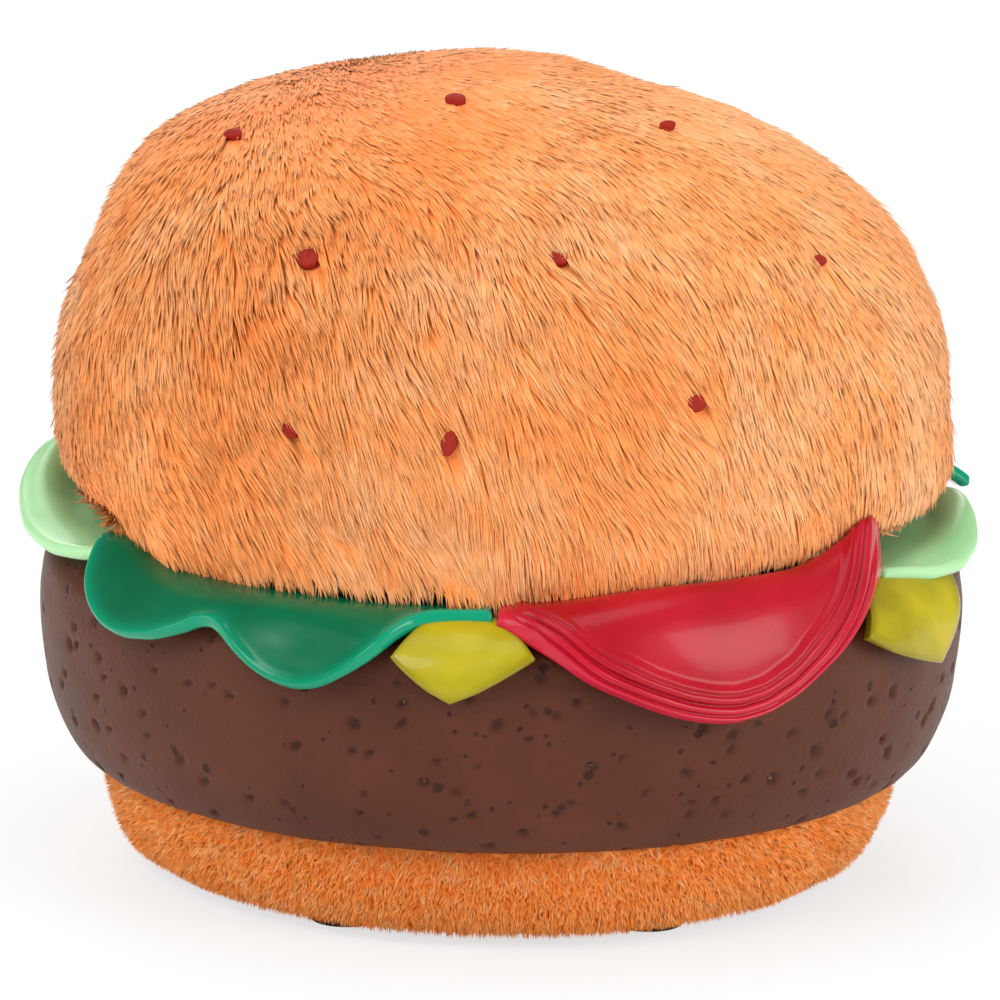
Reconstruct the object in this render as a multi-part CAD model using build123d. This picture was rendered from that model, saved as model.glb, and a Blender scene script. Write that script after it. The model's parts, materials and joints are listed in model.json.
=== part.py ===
from build123d import *
from math import atan2, cos, degrees, pi, radians, sin
import os

# A desk telephone in the shape of a hamburger that opens like a clam.
# The lower half is the base: a plush bottom bun, a moulded patty that houses the electronics, the slices that
# are clamped round its rim, and the keypad deck inside. The upper half is the lid: a plush top bun over a
# moulded dome that holds the receiver. The two halves turn on one pin at the back.
#
# Frame: millimetres, +Z up, origin on the table under the middle of the body, front towards -Y, hinge at +Y.
# An azimuth is counted in degrees from the front towards the right (+X).

# ---------------------------------------------------------------- driving dimensions
# Bottom bun
FOOT_DROP = 1.6          # the feet hold the floor this far off the table
FOOT_R = 5.0
FOOT_HOLE_R = 1.5        # moulding hole in the middle of each foot
FOOT_SINK = 1.0          # depth of the pockets that the feet are glued into
FOOT_INSET = 6.4         # foot centres inside the edge of the flat underside
FLOOR_T = 2.4
FLOOR_INSET = 8.1        # flat underside, inside the seam
SEAM_Z = 15.5            # seam between bottom bun and patty
SEAM_R = 54.5            # patty's radius at that seam
BASE_WALL = 2.4
BASE_PLUSH_T = 2.0       # short-pile cloth with its backing
SPIGOT_H = 3.4           # collar that centres the patty on the bottom bun
SPIGOT_T = 1.2

# Patty housing
PATTY_R = 62.0
PATTY_WIDEST_Z = 36.0
PATTY_H = 29.1           # seam to the flange that carries the slices
PATTY_WALL = 2.4
SHOULDER_R = 4.3         # round between the patty's side and its flange
FLANGE_W = 16.0          # bore of the flange inside the widest radius
TAB_L = 9.5              # tabs that the deck is screwed to
TAB_W = 8.0

# Slices
SLICE_W = 17.0           # bore of the slices inside the patty's widest radius
CHEESE_T = 1.6
LEAF_T = 1.8
SLICE_GAP = 0.3          # air between a drooping slice and what is under it
LEAF_STEP_DEG = 6.0      # spacing of the sections that a leaf is lofted through
STEEPEST = radians(84)   # how far a hanging lip turns down from level

# Keypad deck
DECK_INSET = 13.0        # edge of the deck inside the patty's widest radius
DECK_T = 1.5
DECK_SKIRT_INSET = 4.4
DECK_SKIRT_T = 1.8
DECK_SKIRT_H = 3.0
KEY_PITCH_X = 15.0
KEY_PITCH_Y = 12.5
KEY_W = 11.5
KEY_D = 8.5
KEY_CORNER_R = 1.8
KEY_STAND = 1.8          # height of a key over the deck, under the level of the lid's rim
KEY_TRAVEL = 1.2
KEY_LIP = 0.8            # flange that keeps a key under the deck
KEY_LIP_T = 1.0
KEY_PAD_Y = 1.5          # middle of the twelve number keys
FUNCTION_KEY_Y = 33.5
FUNCTION_KEY_X = 10.0
MAT_T = 1.0
DOME_PRESSED_H = 0.6     # height that is left of a mat's dome under a pressed key
BOARD_T = 1.6

# Top bun
BUN_R = 59.2             # plush at its widest
BUN_WIDEST_Z = 62.0
BUN_DOME_H = 46.6        # widest level to the crown
BUN_SQUARENESS = 2.35    # exponent of the dome's outline: 2 is an ellipse, more is squarer
BUN_PLUSH_T = 4.0
LID_WALL = 2.2
RIM_TUCK = 5.2           # outer radius of the dome's rim inside the widest plush
LID_RIM_LIFT = 1.9       # rim over the deck
LID_PLATE_T = 2.0
LID_PLATE_LIFT = 4.0     # ear plate's underside over the deck
LEDGE_W = 2.0            # ledge that the ear plate seats on
LEDGE_H = 1.5
BUN_LIP_W = 1.2          # flat lower edge of the plush outside the rim

# Hinge
HINGE_INSET = 1.0        # axis inside the patty's widest radius
HINGE_LIFT = 2.0         # axis over the deck
PIN_R = 1.5
KNUCKLE_R = 4.5
LID_KNUCKLE_HALF_W = 13.7
EAR_INNER_X = 14.0
EAR_W = 7.0
PIN_FIT = 0.06

# Receiver and microphone
EAR_Y = -14.0            # centre of the receiver
RECEIVER_R = 17.0
RECEIVER_H = 9.0
GASKET_T = 1.0
CUP_T = 1.4
MIC_INSET = 13.0         # microphone's middle inside the deck's edge
MIC_R = 4.85
MIC_H = 4.5
BOOT_T = 1.2

# Electronics
MAIN_BOARD_Z = 20.4
MAIN_BOARD_GAP = 0.9     # beside the bosses of the base screws
MAIN_BOARD_Y0 = -14.0
STANDOFF_R = 3.0
JACK_W = 13.2
JACK_H = 11.8
JACK_L = 15.8
JACK_PORT_W = 9.8
JACK_PORT_H = 7.0
JACK_PORT_L = 12.0
RINGER_R = 15.0
RINGER_Y = -27.0
RINGER_H = 6.0
SWITCH_X = 27.0
SWITCH_Y = 14.0
SWITCH_L = 13.0
SWITCH_W = 6.5
SWITCH_H = 5.0
SWITCH_TRAVEL = 2.0      # each way from the middle
BALLAST_W = 34.0
BALLAST_L = 32.0
BALLAST_T = 3.5
BALLAST_Y = 17.0
HOOK_X = -23.0
HOOK_Y = 30.5
HOOK_R = 2.5

# Screws
BASE_SCREW_INSET = 11.5  # inside the seam
BASE_SCREW_L = 22.0
BOARD_SCREW_L = 7.0
BASE_SCREW_AZIMUTHS = (45, 135, 225, 315)
TAB_SCREW_INSET = 6.0    # inside the flange's bore
SIDE_AZIMUTHS = (60, 120, 240, 300)
LID_SCREW_INSET = 10.0   # inside the rim
SCREW_R = 1.25
SCREW_HEAD_R = 2.5
SCREW_HEAD_H = 1.4
BOSS_R = 3.5
BOSS_H = 14.0            # bosses in the patty
BOSS_BORE_L = 10.0
WEB_T = 2.0              # webs that tie a boss to the wall
POST_R = 3.0

# Fits
CLEAR = 0.3              # between pieces that move on each other
SEAT = 0.1               # between curved faces that are glued or stretched over each other

# ---------------------------------------------------------------- places worked out from them
FLOOR_R = SEAM_R - FLOOR_INSET
FLOOR_TOP = FOOT_DROP + FLOOR_T
FOOT_CIRCLE_R = FLOOR_R - FOOT_INSET
FLANGE_BORE_R = PATTY_R - FLANGE_W
TAB_R = FLANGE_BORE_R - TAB_L
SLICE_BORE_R = PATTY_R - SLICE_W
DECK_R = PATTY_R - DECK_INSET
DECK_SKIRT_R = DECK_R - DECK_SKIRT_INSET
LID_RIM_R = BUN_R - RIM_TUCK
MAIN_BOARD_R = SEAM_R
BASE_SCREW_CIRCLE_R = SEAM_R - BASE_SCREW_INSET
MAIN_BOARD_HALF_W = BASE_SCREW_CIRCLE_R * sin(radians(BASE_SCREW_AZIMUTHS[0])) - BOSS_R - MAIN_BOARD_GAP
MIC_Y = MIC_INSET - DECK_R
TAB_SCREW_CIRCLE_R = FLANGE_BORE_R - TAB_SCREW_INSET
LID_SCREW_CIRCLE_R = LID_RIM_R - LID_SCREW_INSET
FLANGE_Z = SEAM_Z + PATTY_H
FLANGE_UNDER = FLANGE_Z - PATTY_WALL
SHOULDER_X = PATTY_R - SHOULDER_R
LEAF_BEND_X = SHOULDER_X + SLICE_GAP
BASE_R = SEAM_R - SEAT - BASE_PLUSH_T - 0.2
BASE_BORE_R = BASE_R - BASE_WALL
PATTY_LIP_R = BASE_BORE_R + SPIGOT_T + CLEAR
LEAF_Z = FLANGE_Z + CHEESE_T
DECK_Z = LEAF_Z + LEAF_T
DECK_TOP = DECK_Z + DECK_T
KEY_TOP = DECK_TOP + KEY_STAND
KEY_LIP_TOP = DECK_Z - CLEAR
KEY_FOOT = KEY_LIP_TOP - KEY_LIP_T
BOARD_TOP = KEY_FOOT - KEY_TRAVEL - DOME_PRESSED_H - MAT_T
BOARD_Z = BOARD_TOP - BOARD_T
MAIN_BOARD_TOP = MAIN_BOARD_Z + BOARD_T
RIM_Z = DECK_TOP + LID_RIM_LIFT
PLATE_Z = DECK_TOP + LID_PLATE_LIFT
PLATE_TOP = PLATE_Z + LID_PLATE_T
DOME_R = BUN_R - BUN_PLUSH_T - SEAT
DOME_H = BUN_DOME_H - BUN_PLUSH_T - SEAT
PLATE_R = LID_RIM_R - LID_WALL - 0.4
HINGE_Y = PATTY_R - HINGE_INSET
HINGE_Z = DECK_TOP + HINGE_LIFT
EAR_OUTER_X = EAR_INNER_X + EAR_W
NOTCH_HALF_W = EAR_OUTER_X + 1.0
NOTCH_TOP = HINGE_Z + KNUCKLE_R + 1.5

BOTTOM = (Align.CENTER, Align.CENTER, Align.MIN)


# ---------------------------------------------------------------- small tools
def polar(radius, azimuth, z=0.0):
    """Point at a radius and an azimuth."""
    turn = radians(azimuth)
    return (radius * sin(turn), -radius * cos(turn), z)


def disc(radius, z0, z1, x=0.0, y=0.0):
    """Upright cylinder between two heights."""
    return Pos(x, y, z0) * Cylinder(radius, z1 - z0, align=BOTTOM)


def collar(r_in, r_out, z0, z1, x=0.0, y=0.0):
    """Upright tube between two heights."""
    return disc(r_out, z0, z1, x, y) - disc(r_in, z0 - 1, z1 + 1, x, y)


def block(width, depth, z0, z1, x=0.0, y=0.0):
    """Upright box, centred on x and y, between two heights."""
    return Pos(x, y, z0) * Box(width, depth, z1 - z0, align=BOTTOM)


def soft_block(width, depth, z0, z1, corner, x=0.0, y=0.0):
    """Upright box with rounded upright edges."""
    outline = Plane((x, y, z0)) * RectangleRounded(width, depth, corner)
    return extrude(outline, amount=z1 - z0, dir=(0, 0, 1))


def turned(*lines):
    """Solid turned once round Z from a closed outline of (radius, height) lines."""
    edges = [edge for line in lines for edge in line.edges()]
    return revolve(Plane.XZ * make_face(edges), Axis.Z)


def radial_plane(azimuth):
    """Upright plane through Z: its x runs outwards at an azimuth and its y runs up."""
    turn = radians(azimuth)
    return Plane(origin=(0, 0, 0), x_dir=(sin(turn), -cos(turn), 0), z_dir=(-cos(turn), -sin(turn), 0))


def screw(x, y, seat_z, length, up=1):
    """Pan-head screw: its head lies on seat_z and its shank runs away from it, upwards where up is 1."""
    head_z = (seat_z - SCREW_HEAD_H, seat_z) if up > 0 else (seat_z, seat_z + SCREW_HEAD_H)
    shank_z = (seat_z, seat_z + length) if up > 0 else (seat_z - length, seat_z)
    return disc(SCREW_HEAD_R, *head_z, x, y) + disc(SCREW_R, *shank_z, x, y)


def dome_line(radius, height):
    """Outline of the bun from its widest level to the crown, a quarter of a superellipse."""
    power = 2 / BUN_SQUARENESS
    turns = [radians(step) for step in (12, 25, 38, 50, 61, 71, 80)]
    middle = [(radius * cos(t) ** power, BUN_WIDEST_Z + height * sin(t) ** power) for t in turns]
    ends = (radius, BUN_WIDEST_Z), (0, BUN_WIDEST_Z + height)
    return Spline(ends[0], *middle, ends[1], tangents=((0, 1), (-1, 0)))


def dome_solid(radius, height, r_low, z_low):
    """Solid dome with a straight side below its widest level."""
    side = Polyline((0, BUN_WIDEST_Z + height), (0, z_low), (r_low, z_low), (radius, BUN_WIDEST_Z))
    return turned(dome_line(radius, height), side)


# ---------------------------------------------------------------- base
def bun_side(inset):
    """Side of the bottom bun, a quarter of an ellipse from the floor's edge to the seam."""
    width = SEAM_R - 0.2 - FLOOR_R - inset
    height = SEAM_Z - CLEAR - FOOT_DROP - inset
    return EllipticalCenterArc((FLOOR_R, SEAM_Z - CLEAR), width, height, -90, arc_size=90)


def bottom_bun_cover():
    """Short-pile cover, stretched over the base shell and tucked in at the edge of the floor."""
    outer = bun_side(0)
    inner = bun_side(BASE_PLUSH_T)
    top = Polyline(outer @ 1, inner @ 1)
    tuck = Polyline(inner @ 0, outer @ 0)
    return turned(outer, top, inner, tuck)


def base_shell():
    """Tray of the bottom bun: floor, wall, collar for the patty, screw bosses, stand-offs and pockets."""
    side = bun_side(BASE_PLUSH_T + SEAT)
    rim = Polyline(side @ 1, (BASE_R, SEAM_Z), (BASE_BORE_R, SEAM_Z), (BASE_BORE_R, FLOOR_TOP + 6),
                   (BASE_BORE_R - 6, FLOOR_TOP), (0, FLOOR_TOP), (0, FOOT_DROP), (FLOOR_R - SEAT, FOOT_DROP),
                   (FLOOR_R - SEAT, (side @ 0).Y), side @ 0)
    shell = turned(side, rim)
    shell += collar(BASE_BORE_R, BASE_BORE_R + SPIGOT_T, SEAM_Z, SEAM_Z + SPIGOT_H)
    inside = turned(side, Polyline(side @ 1, (0, SEAM_Z - CLEAR), (0, (side @ 0).Y), side @ 0))
    for azimuth in BASE_SCREW_AZIMUTHS:
        x, y, _ = polar(BASE_SCREW_CIRCLE_R, azimuth)
        shell += disc(BOSS_R, FLOOR_TOP - 0.2, SEAM_Z + SPIGOT_H, x, y)
        web = Rot(0, 0, azimuth - 90) * block(BASE_SCREW_INSET, WEB_T, FLOOR_TOP - 0.2, SEAM_Z,
                                              SEAM_R - BASE_SCREW_INSET / 2)
        shell += web & inside
    for x, y in board_screw_places():
        shell += disc(STANDOFF_R, FLOOR_TOP - 1, MAIN_BOARD_Z, x, y)
    for azimuth in BASE_SCREW_AZIMUTHS:
        x, y, _ = polar(BASE_SCREW_CIRCLE_R, azimuth)
        shell -= disc(SCREW_R, 0, SEAM_Z + SPIGOT_H + 1, x, y)
        shell -= disc(SCREW_HEAD_R + CLEAR, 0, FOOT_DROP + SCREW_HEAD_H + 0.2, x, y)
    for x, y in foot_places():
        shell -= disc(FOOT_R + SEAT, 0, FOOT_DROP + FOOT_SINK, x, y)
    for x, y in board_screw_places():
        shell -= disc(SCREW_R, MAIN_BOARD_Z - 8, MAIN_BOARD_Z + 1, x, y)
    for slot in range(-2, 3):
        length = 18 - 3 * abs(slot)
        shell -= soft_block(length, 1.6, 0, FLOOR_TOP + 1, 0.7, 0, RINGER_Y + 3.6 * slot)
    for side_x in (-SWITCH_X, SWITCH_X):
        shell -= block(4.6, 2 * SWITCH_TRAVEL + 4.6, 0, FLOOR_TOP + 1, side_x, SWITCH_Y)
    for peg_x in (-BALLAST_W / 2 + 5, BALLAST_W / 2 - 5):
        shell += disc(1.9, FLOOR_TOP - 1, FLOOR_TOP + BALLAST_T + 1, peg_x, BALLAST_Y)
    shell += collar(RINGER_R + SEAT, RINGER_R + SEAT + 1.2, FLOOR_TOP - 0.5, FLOOR_TOP + 3, 0, RINGER_Y)
    return shell


def foot_places():
    """Centres of the four rubber feet."""
    return [polar(FOOT_CIRCLE_R, azimuth)[:2] for azimuth in (30, 150, 210, 330)]


def board_screw_places():
    """Centres of the main board's four screws."""
    x = MAIN_BOARD_HALF_W - 4
    return [(x, MAIN_BOARD_Y0 + 6), (-x, MAIN_BOARD_Y0 + 6), (x, MAIN_BOARD_Y0 + 50), (-x, MAIN_BOARD_Y0 + 50)]


def rubber_feet():
    """Four moulded ring feet."""
    feet = [collar(FOOT_HOLE_R, FOOT_R, 0, FOOT_DROP + FOOT_SINK, x, y) for x, y in foot_places()]
    return [chamfer(foot.edges().group_by(Axis.Z)[0].filter_by(lambda e: e.radius > FOOT_HOLE_R), 0.4)
            for foot in feet]


def patty_side(inset):
    """Side of the patty from its lower rim to its widest level, a quarter of an ellipse."""
    low_r = SEAM_R if inset == 0 else PATTY_LIP_R
    return EllipticalCenterArc((low_r, PATTY_WIDEST_Z), PATTY_R - inset - low_r,
                               PATTY_WIDEST_Z - SEAM_Z - inset, -90, arc_size=90)


def patty_inside():
    """Hollow of the patty."""
    side = patty_side(PATTY_WALL)
    rest = Polyline(side @ 1, (PATTY_R - PATTY_WALL, FLANGE_UNDER - 3), (PATTY_R - PATTY_WALL - 3, FLANGE_UNDER),
                    (0, FLANGE_UNDER), (0, SEAM_Z - 1), (PATTY_LIP_R, SEAM_Z - 1), side @ 0)
    return turned(side, rest)


def hinge_ear(x_low):
    """Pedestal and knuckle that carry one end of the hinge pin."""
    gusset = Polyline((HINGE_Y - 8.0, FLANGE_UNDER + 0.4), (HINGE_Y - KNUCKLE_R, HINGE_Z),
                      (HINGE_Y + KNUCKLE_R, HINGE_Z), (PATTY_R - 1.5, FLANGE_Z - 9), close=True)
    web = extrude(Plane.YZ.offset(x_low) * make_face(gusset.edges()), amount=EAR_W)
    knuckle = Plane.YZ.offset(x_low) * Pos(HINGE_Y, HINGE_Z) * Cylinder(KNUCKLE_R, EAR_W, align=BOTTOM)
    return web + knuckle


def patty_shell():
    """Patty: one moulding with its flange, deck tabs, screw bosses, hinge ears and the jack's window."""
    side = patty_side(0)
    shoulder = CenterArc((SHOULDER_X, FLANGE_Z - SHOULDER_R), SHOULDER_R, 0, 90)
    straight = Polyline(side @ 1, shoulder @ 0)
    rest = Polyline(shoulder @ 1, (0, FLANGE_Z), (0, SEAM_Z), side @ 0)
    hollow = patty_inside()
    shell = turned(side, straight, shoulder, rest) - hollow
    shell -= disc(FLANGE_BORE_R, FLANGE_UNDER - 1, FLANGE_Z + 1)
    for x_low in (EAR_INNER_X, -EAR_OUTER_X):
        shell += hinge_ear(x_low)
    for azimuth in SIDE_AZIMUTHS:
        reach = FLANGE_BORE_R + 2 - TAB_R
        tab = Rot(0, 0, azimuth - 90) * block(reach, TAB_W, FLANGE_UNDER, FLANGE_Z, TAB_R + reach / 2)
        shell += tab
        shell -= disc(SCREW_R, FLANGE_UNDER - 1, FLANGE_Z + 1, *polar(TAB_SCREW_CIRCLE_R, azimuth)[:2])
    boss_z = SEAM_Z + SPIGOT_H + CLEAR
    for azimuth in BASE_SCREW_AZIMUTHS:
        x, y, _ = polar(BASE_SCREW_CIRCLE_R, azimuth)
        web_l = PATTY_R - BASE_SCREW_CIRCLE_R
        web = Rot(0, 0, azimuth - 90) * block(web_l, WEB_T, boss_z + 2, boss_z + BOSS_H, PATTY_R - web_l / 2)
        shell += (web & hollow) + disc(BOSS_R, boss_z, boss_z + BOSS_H, x, y)
        shell -= disc(SCREW_R, boss_z - 1, boss_z + BOSS_BORE_L, x, y)
    shell -= block(JACK_W + 2 * SEAT, 20, MAIN_BOARD_TOP, MAIN_BOARD_TOP + JACK_H + SEAT, 0, PATTY_R)
    for x_low in (EAR_INNER_X, -EAR_OUTER_X):
        bore = Plane.YZ.offset(x_low - 1) * Pos(HINGE_Y, HINGE_Z) * Cylinder(PIN_R, EAR_W + 2, align=BOTTOM)
        shell -= bore
    return shell


def hinge_pin():
    """Steel pin through both ears and the lid's knuckle."""
    length = 2 * EAR_OUTER_X
    return Plane.YZ.offset(-EAR_OUTER_X) * Pos(HINGE_Y, HINGE_Z) * Cylinder(PIN_R, length, align=BOTTOM)


# ---------------------------------------------------------------- slices
def cosine_lobe(azimuth, middle, left, right, height):
    """A rounded lobe of a leaf's edge: height at its middle, falling smoothly to nothing at each side."""
    offset = azimuth - middle
    share = abs(offset) / (left if offset < 0 else right)
    return height * cos(pi / 2 * min(share, 1)) ** 2


def corner_lobe(azimuth, middle, left, right, height):
    """A blunt corner of a slice's edge: height at its middle, falling almost straight to each side."""
    offset = azimuth - middle
    share = abs(offset) / (left if offset < 0 else right)
    return height * (1 - min(share, 1) ** 1.25)


def droop_point(run, bend_r, offset):
    """Point of a slice beyond the flange: run mm along its middle layer, offset mm above that layer.

    The middle layer leaves the flange level, turns down on an arc of radius bend_r, and goes on straight once
    it hangs nearly upright.
    """
    turn = min(run / bend_r, STEEPEST)
    tail = max(run - STEEPEST * bend_r, 0)
    radius = LEAF_BEND_X + bend_r * sin(turn) + tail * cos(STEEPEST) + offset * sin(turn)
    height = LEAF_Z + LEAF_T / 2 - bend_r * (1 - cos(turn)) - tail * sin(STEEPEST) + offset * cos(turn)
    return (radius, height)


def leaf_section(azimuth, reach, flatness, rim_t):
    """Section of a slice at one azimuth: a level root under the deck, then a drooping lip with a round edge."""
    hug = SHOULDER_R + SLICE_GAP + CHEESE_T + SLICE_GAP + LEAF_T / 2
    bend_r = hug / (1 - flatness)
    half = LEAF_T / 2
    swell = (rim_t - LEAF_T) * min(1, reach / 8)
    low, high = LEAF_Z, LEAF_Z + LEAF_T
    shares = (1 / 3, 2 / 3, 1)
    top = [droop_point(reach * share, bend_r, half + swell * share) for share in shares]
    under = [droop_point(reach * share, bend_r, -half) for share in shares]
    tip = droop_point(reach + LEAF_T * 0.4, bend_r, swell / 2)
    steep = min(reach / bend_r, STEEPEST)
    outwards, inwards = (cos(steep), -sin(steep)), (-cos(steep), sin(steep))
    lines = [
        Line((SLICE_BORE_R, low), (SLICE_BORE_R, high)),
        Line((SLICE_BORE_R, high), (LEAF_BEND_X, high)),
        Spline((LEAF_BEND_X, high), *top, tangents=((1, 0), outwards)),
        ThreePointArc(top[-1], tip, under[-1]),
        Spline(under[-1], under[1], under[0], (LEAF_BEND_X, low), tangents=(inwards, (-1, 0))),
        Line((LEAF_BEND_X, low), (SLICE_BORE_R, low)),
    ]
    return radial_plane(azimuth) * make_face([edge for line in lines for edge in line.edges()])


def leaf(start, end, lobes, flatness, edge=1.2, rim_t=LEAF_T):
    """Slice between two azimuths: a loft through its sections, as long at each azimuth as its lobes say."""
    count = max(4, round((end - start) / LEAF_STEP_DEG))
    sections = []
    for step in range(count + 1):
        azimuth = start + (end - start) * step / count
        reach = edge + sum(shape(azimuth, *sizes) for shape, *sizes in lobes)
        sections.append(leaf_section(azimuth, reach, flatness, rim_t))
    return loft(sections)


def lettuce_front():
    """Dark leaf at the front left, with one lobe at the side and the longest one near the front."""
    lobes = [(cosine_lobe, -51, 13, 27, 9.0), (cosine_lobe, -26, 20, 21, 12.4)]
    return leaf(-62.5, -1.0, lobes, 0.04)


def tomato_slice():
    """Thick slice at the front right, with a blunt corner that hangs lowest of all."""
    lobes = [(corner_lobe, 25, 24, 33, 16.5)]
    return leaf(-0.5, 56.0, lobes, 0.03, rim_t=2.6)


def pale_leaf_left():
    """Pale leaf at the left side, nearly level."""
    lobes = [(cosine_lobe, -84, 22, 28, 5.2), (cosine_lobe, -112, 18, 20, 4.4)]
    return leaf(-130.5, -63.0, lobes, 0.62)


def pale_leaf_right():
    """Pale leaf at the right side."""
    lobes = [(cosine_lobe, 74, 20, 26, 5.4), (cosine_lobe, 96, 14, 12, 3.4)]
    return leaf(56.5, 106.0, lobes, 0.55)


def lettuce_rear_right():
    """Dark leaf behind the pale one on the right."""
    lobes = [(cosine_lobe, 118, 14, 18, 6.2), (cosine_lobe, 140, 14, 12, 5.0)]
    return leaf(106.5, 152.0, lobes, 0.45)


def lettuce_rear_left():
    """Short dark leaf between the pale one on the left and the hinge."""
    lobes = [(cosine_lobe, -141, 11, 10, 5.5)]
    return leaf(-152.0, -131.0, lobes, 0.45)


def cheese_corner(azimuth, tilt, drop, side_in, side_out):
    """Prism that cuts one hanging corner out of the drooping skirt of the cheese.

    Seen from outside, the corner's tip hangs drop mm below the flange, its two edges meet square there, and
    tilt leans the corner sideways. The sides run side_in and side_out mm up from the tip.
    """
    lean = radians(tilt)
    tip = (0, FLANGE_Z - drop)
    left = (-side_in * cos(pi / 4 - lean), tip[1] + side_in * sin(pi / 4 - lean))
    right = (side_out * cos(pi / 4 + lean), tip[1] + side_out * sin(pi / 4 + lean))
    roof = FLANGE_Z + CHEESE_T + 1
    outline = Polyline(tip, right, (right[0], roof), (left[0], roof), left, close=True)
    turn = radians(azimuth)
    outwards = (sin(turn), -cos(turn), 0)
    plane = Plane(origin=polar(SHOULDER_X - 4, azimuth), x_dir=(cos(turn), sin(turn), 0), z_dir=outwards)
    prism = extrude(plane * make_face(outline.edges()), amount=16)
    low_edges = prism.edges().filter_by(lambda e: abs(e.length - 16) < 1e-6).sort_by(Axis.Z)[0:1]
    return fillet(low_edges, 1.2)


def cheese_slice():
    """Cheese: a level ring under the leaves with four hanging corners, open at the hinge, pressed in by the tomato."""
    inner_r = SHOULDER_R + SLICE_GAP
    outer_r = inner_r + CHEESE_T
    centre_z = FLANGE_Z - inner_r
    foot_z = FLANGE_Z - 12.5
    outer_arc = CenterArc((SHOULDER_X, centre_z), outer_r, 0, 90)
    inner_arc = CenterArc((SHOULDER_X, centre_z), inner_r, 0, 90)
    skirt = turned(outer_arc, inner_arc, Polyline(outer_arc @ 1, inner_arc @ 1),
                   Polyline(inner_arc @ 0, (SHOULDER_X + inner_r, foot_z), (SHOULDER_X + outer_r, foot_z),
                            outer_arc @ 0))
    corners = [(-4.5, 0, 7.2, 9.5, 9.5), (64.5, 27, 10.4, 21, 8.5), (133, 0, 6.5, 9, 9), (-121, 0, 6.5, 9, 9)]
    cutters = [cheese_corner(*corner) for corner in corners]
    ring = collar(SLICE_BORE_R, SHOULDER_X, FLANGE_Z, FLANGE_Z + CHEESE_T)
    slice_ = ring
    for cutter in cutters:
        slice_ += skirt & cutter
    slice_ -= block(2 * NOTCH_HALF_W, 40, FLANGE_Z - 9, LEAF_Z + 1, 0, HINGE_Y + 12 - KNUCKLE_R)
    return slice_ - tomato_slice()


# ---------------------------------------------------------------- keypad deck
def key_places():
    """Name and centre of each key."""
    names = ("1", "2", "3", "4", "5", "6", "7", "8", "9", "star", "0", "hash")
    places = []
    for index, name in enumerate(names):
        row, column = divmod(index, 3)
        places.append((name, (column - 1) * KEY_PITCH_X, KEY_PAD_Y + (1.5 - row) * KEY_PITCH_Y))
    places.append(("redial", -FUNCTION_KEY_X, FUNCTION_KEY_Y))
    places.append(("flash", FUNCTION_KEY_X, FUNCTION_KEY_Y))
    return places


def key(x, y):
    """Key cap with its retaining lip; the top edge is rounded."""
    cap = soft_block(KEY_W, KEY_D, KEY_FOOT, KEY_TOP, KEY_CORNER_R, x, y)
    cap = fillet(cap.edges().group_by(Axis.Z)[-1], 0.6)
    lip = soft_block(KEY_W + 2 * KEY_LIP, KEY_D + 2 * KEY_LIP, KEY_FOOT, KEY_LIP_TOP, KEY_CORNER_R, x, y)
    return cap + lip


def keypad_board_outline():
    """Outline shared by the keypad board: round, with flat sides and a flat front."""
    round_r = DECK_SKIRT_R - DECK_SKIRT_T - 1.5
    return round_r, 28.5, MIC_Y + MIC_R + BOOT_T + 2


def keypad_post_places():
    """Centres of the posts that the keypad board is screwed to."""
    return [(x, y) for x in (-25.2, 25.2) for y in (-22.0, 12.0)]


def keypad_deck():
    """Deck over the electronics: flange that clamps the slices, skirt, key windows and posts."""
    deck = disc(DECK_R, DECK_Z, DECK_TOP)
    deck = fillet(deck.edges().group_by(Axis.Z)[-1], 0.6)
    deck += collar(DECK_SKIRT_R - DECK_SKIRT_T, DECK_SKIRT_R, DECK_Z - DECK_SKIRT_H, DECK_Z)
    for azimuth in SIDE_AZIMUTHS:
        x, y, _ = polar(TAB_SCREW_CIRCLE_R, azimuth)
        deck += disc(POST_R, FLANGE_Z, DECK_Z, x, y)
        deck -= disc(SCREW_R, FLANGE_Z - 1, DECK_Z, x, y)
    for x, y in keypad_post_places():
        deck += disc(2.4, BOARD_TOP, DECK_Z, x, y)
        deck -= disc(0.9, BOARD_TOP - 1, DECK_Z - 0.4, x, y)
    deck += collar(MIC_R + BOOT_T + SEAT, MIC_R + BOOT_T + SEAT + 1, DECK_Z - 3.2, DECK_Z, 0, MIC_Y)
    gap = 2 * 0.25
    for _, x, y in key_places():
        deck -= soft_block(KEY_W + gap, KEY_D + gap, DECK_Z - 1, DECK_TOP + 1, KEY_CORNER_R, x, y)
    deck -= disc(HOOK_R + 0.25, DECK_Z - 1, DECK_TOP + 1, HOOK_X, HOOK_Y)
    for azimuth in range(0, 360, 60):
        x, y, _ = polar(2.2, azimuth)
        deck -= disc(0.6, DECK_Z - 1, DECK_TOP + 1, x, MIC_Y + y)
    deck -= disc(0.6, DECK_Z - 1, DECK_TOP + 1, 0, MIC_Y)
    return deck


def keypad_board():
    """Keypad circuit board, screwed up against the deck's posts."""
    round_r, half_w, front_y = keypad_board_outline()
    depth = round_r - front_y
    board = disc(round_r, BOARD_Z, BOARD_TOP) & block(2 * half_w, depth, BOARD_Z - 1, BOARD_TOP + 1, 0,
                                                       front_y + depth / 2)
    for x, y in keypad_post_places():
        board -= disc(1.1, BOARD_Z - 1, BOARD_TOP + 1, x, y)
    return board


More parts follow.
